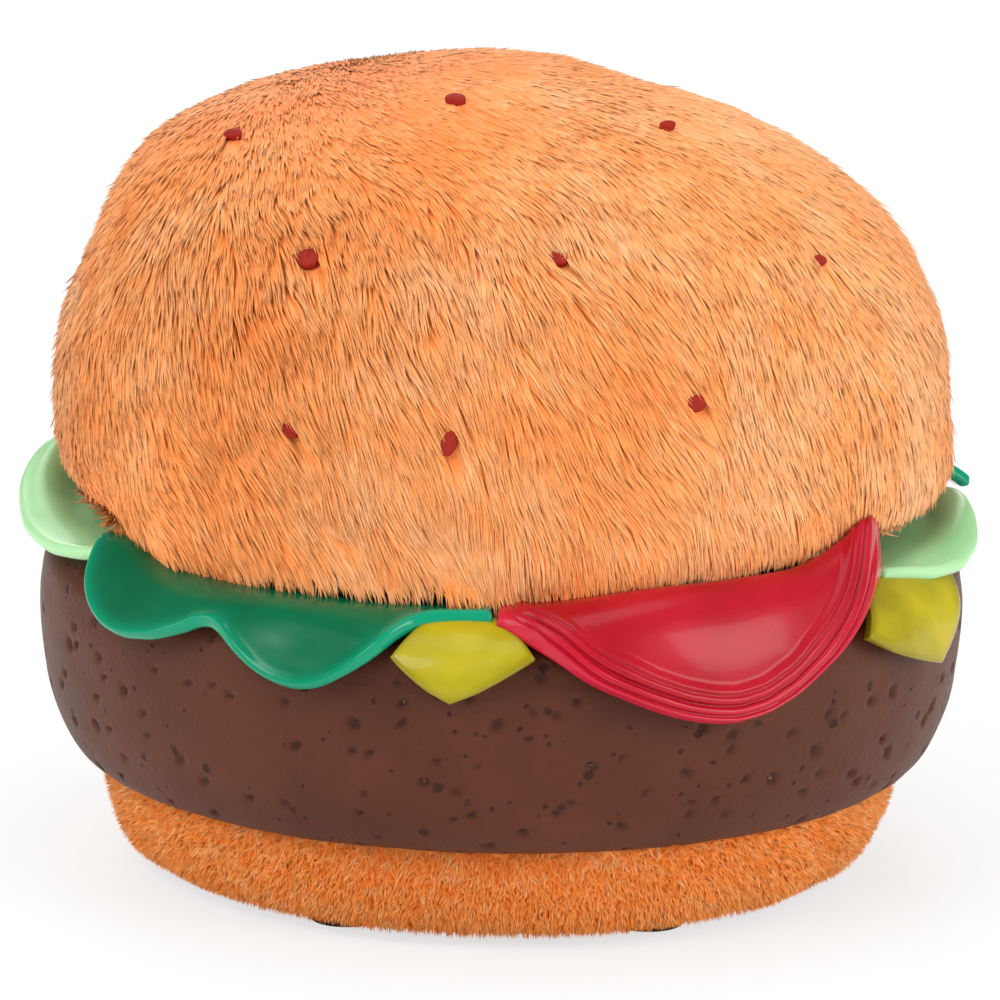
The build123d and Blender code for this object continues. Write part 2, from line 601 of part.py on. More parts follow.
def keypad_mat():
    """Silicone mat with one dome under each key."""
    number_rows = 3 * KEY_PITCH_Y + KEY_D
    mat = soft_block(2 * KEY_PITCH_X + KEY_W, number_rows, BOARD_TOP, BOARD_TOP + MAT_T, 2, 0, KEY_PAD_Y)
    back = FUNCTION_KEY_Y + KEY_D / 2 - KEY_PAD_Y
    mat += soft_block(2 * FUNCTION_KEY_X + KEY_W, back, BOARD_TOP, BOARD_TOP + MAT_T, 2, 0, KEY_PAD_Y + back / 2)
    for _, x, y in key_places():
        mat += Pos(x, y, BOARD_TOP + MAT_T - 0.2) * Cone(3.9, 2.4, KEY_FOOT - BOARD_TOP - MAT_T + 0.2, align=BOTTOM)
    return mat


def microphone():
    """Electret capsule behind the small holes at the front of the deck."""
    return disc(MIC_R, DECK_Z - MIC_H, DECK_Z, 0, MIC_Y)


def microphone_boot():
    """Rubber boot that holds the capsule in the deck's ring."""
    boot = disc(MIC_R + BOOT_T, DECK_Z - MIC_H - 1, DECK_Z, 0, MIC_Y)
    return boot - disc(MIC_R, DECK_Z - MIC_H, DECK_Z + 1, 0, MIC_Y)


def hook_plunger():
    """Plunger that the ear plate holds down while the phone is shut."""
    top = PLATE_Z - CLEAR
    stem = disc(HOOK_R, BOARD_TOP + 0.6, top, HOOK_X, HOOK_Y)
    stem = fillet(stem.edges().group_by(Axis.Z)[-1], 1.0)
    return stem


def hook_switch():
    """Switch body on the keypad board round the foot of the plunger."""
    room = HOOK_R + 0.25
    body = disc(room + 1.4, BOARD_TOP, DECK_Z - 0.5, HOOK_X, HOOK_Y)
    return body - disc(room, BOARD_TOP + 0.3, DECK_Z + 1, HOOK_X, HOOK_Y)


# ---------------------------------------------------------------- electronics in the base
def main_board():
    """Main circuit board on the base's stand-offs."""
    depth = MAIN_BOARD_R - MAIN_BOARD_Y0
    board = disc(MAIN_BOARD_R, MAIN_BOARD_Z, MAIN_BOARD_TOP) & block(
        2 * MAIN_BOARD_HALF_W, depth, MAIN_BOARD_Z - 1, MAIN_BOARD_TOP + 1, 0, MAIN_BOARD_Y0 + depth / 2)
    for x, y in board_screw_places():
        board -= disc(SCREW_R + 0.2, MAIN_BOARD_Z - 1, MAIN_BOARD_TOP + 1, x, y)
    return board


def board_components():
    """Larger components on the main board: two chips, a line transformer, a relay and two capacitors."""
    top = MAIN_BOARD_TOP
    return [
        block(20, 7, top, top + 3.5, 0, 2),
        block(10, 6, top, top + 2.0, 14, 12),
        block(15, 13, top, top + 12, -13, 20),
        block(10, 16, top, top + 10, 14, 24),
        disc(4, top, top + 12, 1, 16),
        disc(3.2, top, top + 9, 2, 26),
    ]


def jack_front_y():
    """Where the jack's face is flush with the patty's side."""
    return PATTY_R - 1.4


def line_jack():
    """Six-way modular jack on the edge of the main board, its port open to the back."""
    face = jack_front_y()
    top = MAIN_BOARD_TOP
    body = block(JACK_W, JACK_L, top, top + JACK_H, 0, face - JACK_L / 2)
    port_z = top + 1.6
    body -= block(JACK_PORT_W, JACK_PORT_L + 1, port_z, port_z + JACK_PORT_H, 0, face - JACK_PORT_L / 2 + 0.5)
    latch = block(4.2, JACK_PORT_L + 1, port_z + JACK_PORT_H, port_z + JACK_PORT_H + 1.8, 0,
                  face - JACK_PORT_L / 2 + 0.5)
    return body - latch


def jack_contacts():
    """Four gold spring contacts in the floor of the jack's port."""
    face = jack_front_y()
    z = MAIN_BOARD_TOP + 1.6
    return [block(0.5, JACK_PORT_L - 3, z, z + 0.5, x, face - JACK_PORT_L / 2 - 1) for x in (-1.9, -0.64, 0.64, 1.9)]


def ringer():
    """Ringer housing on the floor, with its sound chamber open over the floor's slots."""
    case = disc(RINGER_R, FLOOR_TOP, FLOOR_TOP + RINGER_H, 0, RINGER_Y)
    case = fillet(case.edges().group_by(Axis.Z)[-1], 1)
    return case - disc(RINGER_R - 1.5, FLOOR_TOP - 1, FLOOR_TOP + RINGER_H - 2.2, 0, RINGER_Y)


def ringer_disc():
    """Brass disc of the ringer, glued under the roof of its housing."""
    return disc(RINGER_R - 2, FLOOR_TOP + RINGER_H - 2.8, FLOOR_TOP + RINGER_H - 2.2, 0, RINGER_Y)


def switch_body(x):
    """Slide switch on the floor over its slot, hollow where its knob slides."""
    body = block(SWITCH_W, SWITCH_L, FLOOR_TOP, FLOOR_TOP + SWITCH_H, x, SWITCH_Y)
    return body - block(3.6, 2 * SWITCH_TRAVEL + 3.6, FLOOR_TOP - 1, FLOOR_TOP + SWITCH_H - 1.2, x, SWITCH_Y)


def switch_knob(x):
    """Ribbed knob that stands in the floor's slot, within a finger nail's reach."""
    low = FOOT_DROP - 0.6
    knob = block(3.0, 3.0, low, FLOOR_TOP + SWITCH_H - 1.5, x, SWITCH_Y)
    for rib in (-0.8, 0.8):
        knob -= block(4, 0.5, low - 1, low + 0.4, x, SWITCH_Y + rib)
    return knob


def ballast_plate():
    """Steel plate that keeps the base down while the lid is open."""
    plate = soft_block(BALLAST_W, BALLAST_L, FLOOR_TOP, FLOOR_TOP + BALLAST_T, 3, 0, BALLAST_Y)
    for x in (-BALLAST_W / 2 + 5, BALLAST_W / 2 - 5):
        plate -= disc(2.0, FLOOR_TOP - 1, FLOOR_TOP + BALLAST_T + 1, x, BALLAST_Y)
    return plate


# ---------------------------------------------------------------- lid
def notch():
    """Room for the hinge at the back of the lid."""
    return block(2 * NOTCH_HALF_W, 30, RIM_Z - 5, NOTCH_TOP, 0, HINGE_Y)


def top_bun_cover():
    """Long-pile cover of the top bun, curled in under the rim."""
    outer = dome_line(BUN_R, BUN_DOME_H)
    inner = dome_line(DOME_R + SEAT, DOME_H + SEAT)
    crown = Line(outer @ 1, inner @ 1)
    rim_r = LID_RIM_R + SEAT
    low_r = rim_r + BUN_LIP_W
    curl = EllipticalCenterArc((low_r, BUN_WIDEST_Z), BUN_R - low_r, BUN_WIDEST_Z - RIM_Z, -90, arc_size=90)
    under = Polyline(inner @ 0, (rim_r, RIM_Z), curl @ 0)
    return turned(outer, crown, inner, under, curl) - notch()


def lid_shell():
    """Dome under the plush, with the ear plate's ledge and screw bosses inside."""
    outer = dome_solid(DOME_R, DOME_H, LID_RIM_R, RIM_Z)
    inner = dome_solid(DOME_R - LID_WALL, DOME_H - LID_WALL, LID_RIM_R - LID_WALL, RIM_Z - 1)
    shell = outer - inner
    shell += collar(PLATE_R - LEDGE_W, LID_RIM_R - 1, PLATE_TOP, PLATE_TOP + LEDGE_H)
    for azimuth in SIDE_AZIMUTHS:
        x, y, _ = polar(LID_SCREW_CIRCLE_R, azimuth)
        shell += disc(BOSS_R, PLATE_TOP, BUN_WIDEST_Z + DOME_H, x, y) & outer
        shell -= disc(SCREW_R, PLATE_TOP - 1, PLATE_TOP + 12, x, y)
    return shell - notch()


def lid_plate():
    """Ear plate: closes the lid, carries the receiver behind its grille and the lid's half of the hinge."""
    plate = disc(PLATE_R, PLATE_Z, PLATE_TOP)
    plate = fillet(plate.edges().group_by(Axis.Z)[0], 0.6)
    plate += collar(RECEIVER_R + SEAT, RECEIVER_R + SEAT + CUP_T, PLATE_TOP, PLATE_TOP + RECEIVER_H - 2, 0, EAR_Y)
    plate += collar(RECEIVER_R + 2, RECEIVER_R + 3.4, PLATE_Z - 0.7, PLATE_Z, 0, EAR_Y)
    for x in (-retainer_x(), retainer_x()):
        plate += disc(POST_R, PLATE_TOP, retainer_z(), x, EAR_Y)
        plate -= disc(SCREW_R, PLATE_TOP + 0.5, retainer_z() + 1, x, EAR_Y)
    arm_l = HINGE_Y - PLATE_R + 9
    arm = block(2 * LID_KNUCKLE_HALF_W, arm_l, PLATE_Z, PLATE_TOP, 0, HINGE_Y - arm_l / 2)
    knuckle = Plane.YZ.offset(-LID_KNUCKLE_HALF_W) * Pos(HINGE_Y, HINGE_Z) * Cylinder(
        KNUCKLE_R, 2 * LID_KNUCKLE_HALF_W, align=BOTTOM)
    plate += arm + knuckle
    for x in (-LID_KNUCKLE_HALF_W + 1, 0, LID_KNUCKLE_HALF_W - 1):
        plate += block(2, 14, PLATE_TOP, PLATE_TOP + 2, x, HINGE_Y - 11)
    plate -= Plane.YZ.offset(-LID_KNUCKLE_HALF_W - 1) * Pos(HINGE_Y, HINGE_Z) * Cylinder(
        PIN_R + PIN_FIT, 2 * LID_KNUCKLE_HALF_W + 2, align=BOTTOM)
    plate -= disc(1.0, PLATE_Z - 1, PLATE_TOP + 1, 0, EAR_Y)
    for circle_r, count in ((4.0, 6), (8.0, 12), (12.0, 18)):
        for step in range(count):
            x, y, _ = polar(circle_r, 360 / count * step)
            plate -= disc(1.0, PLATE_Z - 1, PLATE_TOP + 1, x, EAR_Y + y)
    for azimuth in SIDE_AZIMUTHS:
        x, y, _ = polar(LID_SCREW_CIRCLE_R, azimuth)
        plate -= disc(SCREW_R + 0.2, PLATE_Z - 1, PLATE_TOP + 1, x, y)
        plate -= disc(SCREW_HEAD_R + 0.2, PLATE_Z - 1, PLATE_Z + SCREW_HEAD_H - 0.4, x, y)
    return plate


def retainer_x():
    """Distance of the retainer's posts from the middle of the receiver."""
    return RECEIVER_R + SEAT + CUP_T + POST_R + 0.5


def retainer_z():
    """Height of the retainer's underside, on the back of the receiver."""
    return PLATE_TOP + GASKET_T + RECEIVER_H


def receiver_gasket():
    """Foam ring between the receiver and the grille."""
    return collar(RECEIVER_R - 3, RECEIVER_R - 0.5, PLATE_TOP, PLATE_TOP + GASKET_T, 0, EAR_Y)


def receiver_capsule():
    """Receiver: a shallow can with a smaller magnet pot on its back."""
    low = PLATE_TOP + GASKET_T
    can = disc(RECEIVER_R, low, low + RECEIVER_H - 3, 0, EAR_Y)
    can = fillet(can.edges().group_by(Axis.Z)[-1], 0.8)
    return can + disc(RECEIVER_R - 6, low + RECEIVER_H - 3, low + RECEIVER_H, 0, EAR_Y)


def receiver_retainer():
    """Bar across the back of the receiver, screwed to two posts."""
    z = retainer_z()
    bar = soft_block(2 * retainer_x() + 2 * POST_R, 2 * POST_R, z, z + 2, 2.5, 0, EAR_Y)
    for x in (-retainer_x(), retainer_x()):
        bar -= disc(SCREW_R + 0.2, z - 1, z + 3, x, EAR_Y)
    return bar


def seed(azimuth, height, length, width, tilt):
    """Embroidered seed: a low pad on the plush, its long side turned by tilt."""
    dome_z = (height - BUN_WIDEST_Z) / BUN_DOME_H
    radius = BUN_R * (1 - dome_z ** BUN_SQUARENESS) ** (1 / BUN_SQUARENESS)
    slope_r = (radius / BUN_R) ** (BUN_SQUARENESS - 1) / BUN_R
    slope_z = dome_z ** (BUN_SQUARENESS - 1) / BUN_DOME_H
    elevation = degrees(atan2(slope_z, slope_r))
    turn = radians(azimuth)
    out = (sin(turn) * cos(radians(elevation)), -cos(turn) * cos(radians(elevation)), sin(radians(elevation)))
    plane = Plane(origin=polar(radius, azimuth, height), x_dir=(cos(turn), sin(turn), 0), z_dir=out)
    return plane * Pos(0, 0, SEAT) * Rot(0, 0, tilt) * extrude(Ellipse(length / 2, width / 2), amount=0.5)


def seeds():
    """All seeds of the bun, each by azimuth, height, length, width and tilt."""
    return [seed(*place) for place in SEED_PLACES]


SEED_PLACES = [
    (-62, 100.0, 3.4, 1.8, 20), (-19, 106.7, 3.2, 2.4, 0), (50, 104.5, 3.2, 1.6, -10),
    (-29.5, 90.2, 3.6, 3.0, 0), (7, 91.5, 3.2, 2.4, -15), (54, 89.2, 2.4, 1.6, -20),
    (-28, 69.9, 3.0, 2.2, -25), (-7, 70.0, 3.6, 2.2, 70), (26, 74.2, 3.2, 2.4, 10),
    (-112, 84.0, 3.2, 2.0, 10), (108, 80.0, 3.0, 2.0, 0), (-128, 99.0, 3.2, 2.0, 15),
    (165, 98.0, 3.2, 2.0, -10), (130, 92.0, 3.2, 2.2, 20), (-160, 80.0, 3.2, 2.2, 0),
]


# ---------------------------------------------------------------- fasteners
def base_screws():
    """Four long screws from below, through the bottom bun into the patty."""
    seat = FOOT_DROP + SCREW_HEAD_H + 0.2
    return [screw(*polar(BASE_SCREW_CIRCLE_R, azimuth)[:2], seat, BASE_SCREW_L) for azimuth in BASE_SCREW_AZIMUTHS]


def deck_screws():
    """Four screws from below, through the patty's tabs into the deck's posts."""
    return [screw(*polar(TAB_SCREW_CIRCLE_R, azimuth)[:2], FLANGE_UNDER, PATTY_WALL + 3) for azimuth in SIDE_AZIMUTHS]


def board_screws():
    """Four screws that hold the main board."""
    return [screw(x, y, MAIN_BOARD_TOP, BOARD_SCREW_L, up=-1) for x, y in board_screw_places()]


def keypad_screws():
    """Four small screws that hold the keypad board."""
    return [disc(1.7, BOARD_Z - 1, BOARD_Z, x, y) + disc(0.9, BOARD_Z, BOARD_TOP + 2.4, x, y)
            for x, y in keypad_post_places()]


def lid_screws():
    """Four countersunk screws that hold the ear plate in the dome."""
    seat = PLATE_Z + SCREW_HEAD_H - 0.4
    return [screw(*polar(LID_SCREW_CIRCLE_R, azimuth)[:2], seat, 10) for azimuth in SIDE_AZIMUTHS]


def retainer_screws():
    """Two screws that hold the receiver's retainer."""
    return [screw(x, EAR_Y, retainer_z() + 2, 9, up=-1) for x in (-retainer_x(), retainer_x())]


# ---------------------------------------------------------------- all nodes
NODES = {
    "bottom_bun_cover": bottom_bun_cover, "base_shell": base_shell, "rubber_feet": rubber_feet,
    "patty_shell": patty_shell, "hinge_pin": hinge_pin, "cheese_slice": cheese_slice,
    "lettuce_front": lettuce_front, "tomato_slice": tomato_slice, "pale_leaf_left": pale_leaf_left,
    "pale_leaf_right": pale_leaf_right, "lettuce_rear_right": lettuce_rear_right,
    "lettuce_rear_left": lettuce_rear_left, "keypad_deck": keypad_deck, "keypad_board": keypad_board,
    "keypad_mat": keypad_mat, "microphone": microphone, "microphone_boot": microphone_boot,
    "hook_plunger": hook_plunger, "hook_switch": hook_switch, "main_board": main_board,
    "board_components": board_components, "line_jack": line_jack, "jack_contacts": jack_contacts,
    "ringer_housing": ringer, "ringer_disc": ringer_disc, "ballast_plate": ballast_plate,
    "ringer_switch_body": lambda: switch_body(-SWITCH_X), "tone_switch_body": lambda: switch_body(SWITCH_X),
    "ringer_switch_knob": lambda: switch_knob(-SWITCH_X), "tone_switch_knob": lambda: switch_knob(SWITCH_X),
    "top_bun_cover": top_bun_cover, "lid_shell": lid_shell, "lid_plate": lid_plate,
    "receiver_gasket": receiver_gasket, "receiver_capsule": receiver_capsule,
    "receiver_retainer": receiver_retainer, "sesame_seeds": seeds, "base_screws": base_screws,
    "deck_screws": deck_screws, "board_screws": board_screws, "keypad_screws": keypad_screws,
    "lid_screws": lid_screws, "retainer_screws": retainer_screws,
}
for name, x, y in key_places():
    NODES["key_" + name] = lambda x=x, y=y: key(x, y)


def main():
    """Write each node to its own file."""
    os.makedirs("parts", exist_ok=True)
    for node, make in NODES.items():
        made = make()
        solids = [solid for piece in (made if isinstance(made, list) else [made]) for solid in piece.solids()]
        export_step(Compound(children=solids), f"parts/{node}.step")
        print(node, len(solids), round(sum(solid.volume for solid in solids), 1))


main()
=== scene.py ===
# %% [markdown]
# # A hamburger telephone in plush and vinyl
# The lid of this clamshell telephone is the top bun, and its base is the patty on the bottom bun. The solids
# come ready packed. This file gives them what solids can't carry: pile, stitches, moulded pits, soft drape
# and print. Sizes are in millimetres in the code and turn into metres when a mesh is made.

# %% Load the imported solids
import json
import math

import bpy
import numpy as np
from mathutils import Matrix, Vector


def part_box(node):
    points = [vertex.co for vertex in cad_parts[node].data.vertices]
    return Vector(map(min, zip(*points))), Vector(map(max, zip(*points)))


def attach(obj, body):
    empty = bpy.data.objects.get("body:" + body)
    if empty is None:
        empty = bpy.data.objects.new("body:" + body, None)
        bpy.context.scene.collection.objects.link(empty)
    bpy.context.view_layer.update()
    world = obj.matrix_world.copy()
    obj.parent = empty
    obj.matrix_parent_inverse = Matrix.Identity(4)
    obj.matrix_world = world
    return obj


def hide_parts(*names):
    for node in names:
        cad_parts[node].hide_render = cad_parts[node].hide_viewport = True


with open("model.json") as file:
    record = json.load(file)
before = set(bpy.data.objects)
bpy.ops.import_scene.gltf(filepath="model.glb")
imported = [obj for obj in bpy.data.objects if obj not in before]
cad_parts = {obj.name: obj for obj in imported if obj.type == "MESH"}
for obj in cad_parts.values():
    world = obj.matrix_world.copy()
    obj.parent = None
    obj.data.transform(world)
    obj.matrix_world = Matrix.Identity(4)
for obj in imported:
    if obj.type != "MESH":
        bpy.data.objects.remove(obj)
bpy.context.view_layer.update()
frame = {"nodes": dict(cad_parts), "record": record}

MM = 0.001
scene = bpy.context.scene
nodes = frame["nodes"]

# %% [markdown]
# A mesh goes into Blender as whole arrays: points, the corners of all faces, and a value for each corner or
# point. One function does it for every piece. It also turns a closed surface the right way round, by its
# signed volume.


# %% Put arrays into a mesh
def signed_volume(points, faces):
    """Six times the volume: the sum over all fan triangles of a dot (b cross c)."""
    total = 0.0
    for group in faces:
        first = points[group[:, 0]]
        for k in range(1, group.shape[1] - 1):
            turned = np.cross(points[group[:, k]], points[group[:, k + 1]])
            total += float(np.einsum("ij,ij->", first, turned))
    return total


def make_piece(name, points, faces, material, body, slot, uv=None, values=None, normals=None):
    """A mesh object from points in mm and arrays of faces, riding on a body.

    uv holds one pair for each point and fills two layers. values maps an attribute's name to one number per
    point. normals are the directions that the points are shaded by.
    """
    if signed_volume(points, faces) < 0:
        faces = [group[:, ::-1] for group in faces]
    corners = np.concatenate([group.ravel() for group in faces])
    sizes = np.concatenate([np.full(len(group), group.shape[1]) for group in faces])
    mesh = bpy.data.meshes.new(name)
    mesh.vertices.add(len(points))
    mesh.vertices.foreach_set("co", (points * MM).astype(np.float32).ravel())
    mesh.loops.add(len(corners))
    mesh.loops.foreach_set("vertex_index", corners.astype(np.int32))
    mesh.polygons.add(len(sizes))
    mesh.polygons.foreach_set("loop_start", (np.cumsum(sizes) - sizes).astype(np.int32))
    mesh.polygons.foreach_set("use_smooth", np.ones(len(sizes), bool))
    mesh.update(calc_edges=True)
    if uv is not None:
        for layer_name in ("strand", "OFBake"):
            layer = mesh.uv_layers.new(name=layer_name)
            layer.data.foreach_set("uv", uv[corners].astype(np.float32).ravel())
    for value_name, numbers in (values or {}).items():
        layer = mesh.attributes.new(value_name, "FLOAT", "POINT")
        layer.data.foreach_set("value", numbers.astype(np.float32).ravel())
    if normals is not None:
        mesh.normals_split_custom_set_from_vertices(normals.tolist())
    mesh.materials.append(material)
    piece = bpy.data.objects.new(name, mesh)
    scene.collection.objects.link(piece)
    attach(piece, body)
    print(name, len(points), "points", int((sizes - 2).sum()), "triangles")
    return piece


def join(parts):
    """Several closed surfaces as one: points one after another, and the faces of each turned outwards."""
    points, faces, start = [], [], 0
    for part_points, part_faces in parts:
        turn = -1 if signed_volume(part_points, part_faces) < 0 else 1
        points.append(part_points)
        faces += [group[:, ::turn] + start for group in part_faces]
        start += len(part_points)
    return np.concatenate(points), faces


# %% Faces of a slab and of a round skin
def slab_faces(keep, wrap=False):
    """Faces of a slab whose front and back are grids of points, front first.

    keep says which cells of the grid are there. Every kept cell has a front and a back, and gets a wall on
    each side where it has no neighbour. With wrap, the last column joins the first.
    """
    rows, columns = keep.shape[0] + 1, keep.shape[1] + (0 if wrap else 1)
    index = np.arange(rows * columns).reshape(rows, columns)
    if wrap:
        index = np.concatenate([index, index[:, :1]], axis=1)
    a, b, c, d = index[:-1, :-1], index[:-1, 1:], index[1:, 1:], index[1:, :-1]
    back = rows * columns
    faces = [np.stack([a, b, c, d], -1)[keep], np.stack([d, c, b, a], -1)[keep] + back]
    around = np.pad(keep, ((1, 1), (0, 0)))
    around = np.pad(around, ((0, 0), (1, 1)), mode="wrap" if wrap else "constant")
    sides = ((around[:-2, 1:-1], a, b), (around[2:, 1:-1], c, d),
             (around[1:-1, :-2], d, a), (around[1:-1, 2:], b, c))
    for neighbour, p, q in sides:
        faces.append(np.stack([q, p, p + back, q + back], -1)[keep & ~neighbour])
    return [group for group in faces if len(group)]


def skin_faces(rows, columns):
    """Faces of a round closed skin: rings of points, closed by one point before and one after all rings."""
    ring = np.arange(rows * columns).reshape(rows, columns)
    after = np.roll(ring, -1, axis=1)
    quads = np.stack([ring[:-1], after[:-1], after[1:], ring[1:]], -1).reshape(-1, 4)
    first, last = rows * columns, rows * columns + 1
    start = np.stack([np.full(columns, first), after[0], ring[0]], -1)
    end = np.stack([np.full(columns, last), ring[-1], after[-1]], -1)
    return [quads, start, end]


def on_azimuth(radius, azimuth, height):
    """Points at a radius, an azimuth in degrees from the front towards the right, and a height."""
    turn = np.radians(azimuth)
    return np.stack(np.broadcast_arrays(radius * np.sin(turn), -radius * np.cos(turn), height), -1)


def even_steps(radius, height, count):
    """An outline at even steps of its length: run, radius, height, and its direction in both."""
    run = np.concatenate([[0], np.cumsum(np.hypot(np.diff(radius), np.diff(height)))])
    even = np.linspace(0, run[-1], count)
    radius, height = np.interp(even, run, radius), np.interp(even, run, height)
    along_r, along_z = np.gradient(radius, even), np.gradient(height, even)
    scale = np.hypot(along_r, along_z)
    return even, radius, height, along_r / scale, along_z / scale


# %% Seeded noise
def ripple(points, wavelength, seed, waves=10):
    """Smooth noise of about -1 to 1: a sum of sine waves in random directions, all near one wavelength."""
    rng = np.random.default_rng(seed)
    ways = rng.normal(size=(waves, points.shape[-1]))
    ways *= (2 * math.pi / wavelength * rng.uniform(0.7, 1.4, waves) / np.linalg.norm(ways, axis=1))[:, None]
    waving = np.sin(points @ ways.T + rng.uniform(0, 2 * math.pi, waves))
    return waving.sum(axis=-1) * math.sqrt(2 / waves) / 1.5


def hashed(cells, seed):
    """Random numbers of 0 to 1 that depend only on whole-number cells: the fraction of a large sine."""
    return np.mod(np.sin(cells @ np.array([127.1, 311.7]) + seed * 74.7) * 43758.5453, 1.0)


def nearest_centre(plane, cell, seed):
    """For points of a plane, the nearest of jittered centres, one per square cell, and that centre's cell."""
    home = np.floor(plane / cell)
    best = np.full(len(plane), np.inf)
    centres, cells = np.zeros_like(plane), np.zeros_like(plane)
    for step in np.ndindex(3, 3):
        tried = home + np.array(step) - 1
        centre = (tried + np.stack([hashed(tried, seed), hashed(tried, seed + 1)], -1)) * cell
        distance = ((plane - centre) ** 2).sum(axis=1)
        closer = distance < best
        best = np.where(closer, distance, best)
        centres[closer], cells[closer] = centre[closer], tried[closer]
    return centres, cells


def ease(low, high, value):
    """Smooth step from 0 at low to 1 at high: 3t squared minus 2t cubed."""
    t = np.clip((value - low) / (high - low), 0, 1)
    return t * t * (3 - 2 * t)


# %% [markdown]
# Materials start from the real finish. Colours are hex codes as a painter would note them, turned to the
# linear numbers that shaders want. One function adds any node with its settings and links, and short ones
# stand for the nodes that most materials use.


# %% Colours, nodes and the start of a material
def linear(code):
    """Linear red, green, blue and alpha of an sRGB hex code."""
    parts = [int(code[i:i + 2], 16) / 255 for i in (1, 3, 5)]
    return tuple(p / 12.92 if p <= 0.04045 else ((p + 0.055) / 1.055) ** 2.4 for p in parts) + (1.0,)


def add(tree, kind, inputs=None, **settings):
    """Adds a node: settings are its properties, inputs its sockets by name or number, as values or links."""
    node = tree.nodes.new("ShaderNode" + kind)
    for name, value in settings.items():
        setattr(node, name, value)
    for name, value in (inputs or {}).items():
        if isinstance(value, bpy.types.NodeSocket):
            tree.links.new(value, node.inputs[name])
        else:
            node.inputs[name].default_value = value
    return node


def start_material(name, **plain):
    """A new material with its Principled shader; plain values go on the shader's own sockets."""
    material = bpy.data.materials.new(name)
    material.use_nodes = True
    tree = material.node_tree
    shader = tree.nodes["Principled BSDF"]
    for socket, value in plain.items():
        shader.inputs[socket.replace("_", " ")].default_value = value
    return material, tree, shader


def noise(tree, size_mm, detail=2.0):
    """Noise of 0 to 1 over the object, with features of about a size in mm."""
    place = add(tree, "TexCoord").outputs["Object"]
    return add(tree, "TexNoise", {"Vector": place, "Scale": 1 / (size_mm * MM), "Detail": detail}).outputs[0]


def ramp(tree, value, start=0.0, end=1.0, low=0.0, high=1.0):
    """A value mapped so that start gives low and end gives high, and held beyond them."""
    spans = {"From Min": start, "From Max": end, "To Min": low, "To Max": high}
    return add(tree, "MapRange", {"Value": value, **spans}).outputs[0]


def blend(tree, share, first, second):
    """A colour between two, each a hex code or a link."""
    first, second = (linear(shade) if isinstance(shade, str) else shade for shade in (first, second))
    return add(tree, "Mix", {0: share, 6: first, 7: second}, data_type="RGBA").outputs[2]


def relief(tree, height, strength, depth_mm):
    """Normals of a relief whose height is a link, depth_mm deep."""
    return add(tree, "Bump", {"Height": height, "Strength": strength, "Distance": depth_mm * MM}).outputs[0]


def wire(tree, shader, **links):
    """Links values to the shader's sockets."""
    for socket, value in links.items():
        tree.links.new(value, shader.inputs[socket.replace("_", " ")])


# %% [markdown]
# Most parts of a telephone are moulded or pressed. Such a surface has a slow drift of shade from the melt, a
# fine spark-eroded or orange-peel grain, and a gloss that is never quite even. One function gives all three
# at real sizes.


# %% Moulded, pressed and plated finishes
def moulded(name, shade, second, drift_mm, grain_mm, gloss, bump_mm, **plain):
    """Material whose colour drifts between two shades, with its grain as bump and an uneven roughness."""
    material, tree, shader = start_material(name, **plain)
    grain = noise(tree, grain_mm)
    colour = blend(tree, ramp(tree, noise(tree, drift_mm, 3.0), 0.35, 0.65), shade, second)
    rough = ramp(tree, grain, low=gloss[0], high=gloss[1])
    wire(tree, shader, Base_Color=colour, Roughness=rough, Normal=relief(tree, grain, 0.6, bump_mm))
    return material


METAL = {"Metallic": 1.0}
FINISHES = {
    # slot: name, two shades, drift and grain in mm, roughness low and high, bump depth in mm, plain values
    "orange_plastic": ("moulded_orange_abs", "#E07A35", "#D9702C", 18, 0.5, (0.42, 0.58), 0.02, {}),
    "deck_plastic": ("moulded_cream_abs", "#F1E3BE", "#EBDAB0", 22, 0.45, (0.40, 0.55), 0.02, {}),
    "key_plastic": ("moulded_brown_key_abs", "#6B4030", "#613929", 9, 0.35, (0.28, 0.40), 0.01, {}),
    "black_plastic": ("moulded_black_abs", "#1F1F21", "#252427", 9, 0.35, (0.40, 0.55), 0.01, {}),
    "black_rubber": ("moulded_black_rubber", "#212122", "#2A2A2A", 6, 0.4, (0.70, 0.85), 0.02, {}),
    "silicone": ("moulded_grey_silicone", "#A9ABA8", "#9FA2A0", 10, 0.4, (0.45, 0.60), 0.01, {}),
    "circuit_board": ("green_glass_epoxy", "#1F5B34", "#2A6E3F", 3, 0.6, (0.30, 0.42), 0.01, {}),
    "steel": ("zinc_plated_steel", "#C9C9C6", "#B4B5B6", 5, 0.25, (0.24, 0.38), 0.005, METAL),
    "gold_contact": ("gold_plated_brass", "#E0B65C", "#D2A347", 4, 0.25, (0.2, 0.3), 0.004, METAL),
    "brown_plastic": ("moulded_patty_abs", "#6E4638", "#64402F", 12, 0.4, (0.50, 0.62), 0.02, {}),
    "cheese_vinyl": ("soft_cheese_vinyl", "#D6CC26", "#C6C21C", 6, 0.6, (0.30, 0.42), 0.02, {}),
    "green_vinyl": ("soft_lettuce_vinyl", "#007E52", "#007348", 10, 0.7, (0.16, 0.26), 0.015, {}),
    "red_vinyl": ("soft_tomato_vinyl", "#CF1533", "#C01230", 10, 0.7, (0.18, 0.28), 0.015, {}),
    "pale_green_vinyl": ("soft_pale_leaf_vinyl", "#A8DAA6", "#9CD29C", 12, 0.6, (0.32, 0.44), 0.015, {}),
    "long_plush": ("plush_under_the_seeds", "#E0762F", "#D96C28", 3, 0.3, (0.8, 0.95), 0.1, {}),
    "short_plush": ("plush_backing", "#DE6C26", "#D06020", 3, 0.3, (0.8, 0.95), 0.1, {}),
    "seed_thread": ("seed_thread_plain", "#8E2A24", "#7E221E", 2, 0.3, (0.5, 0.7), 0.05, {}),
}
finish_of = {}
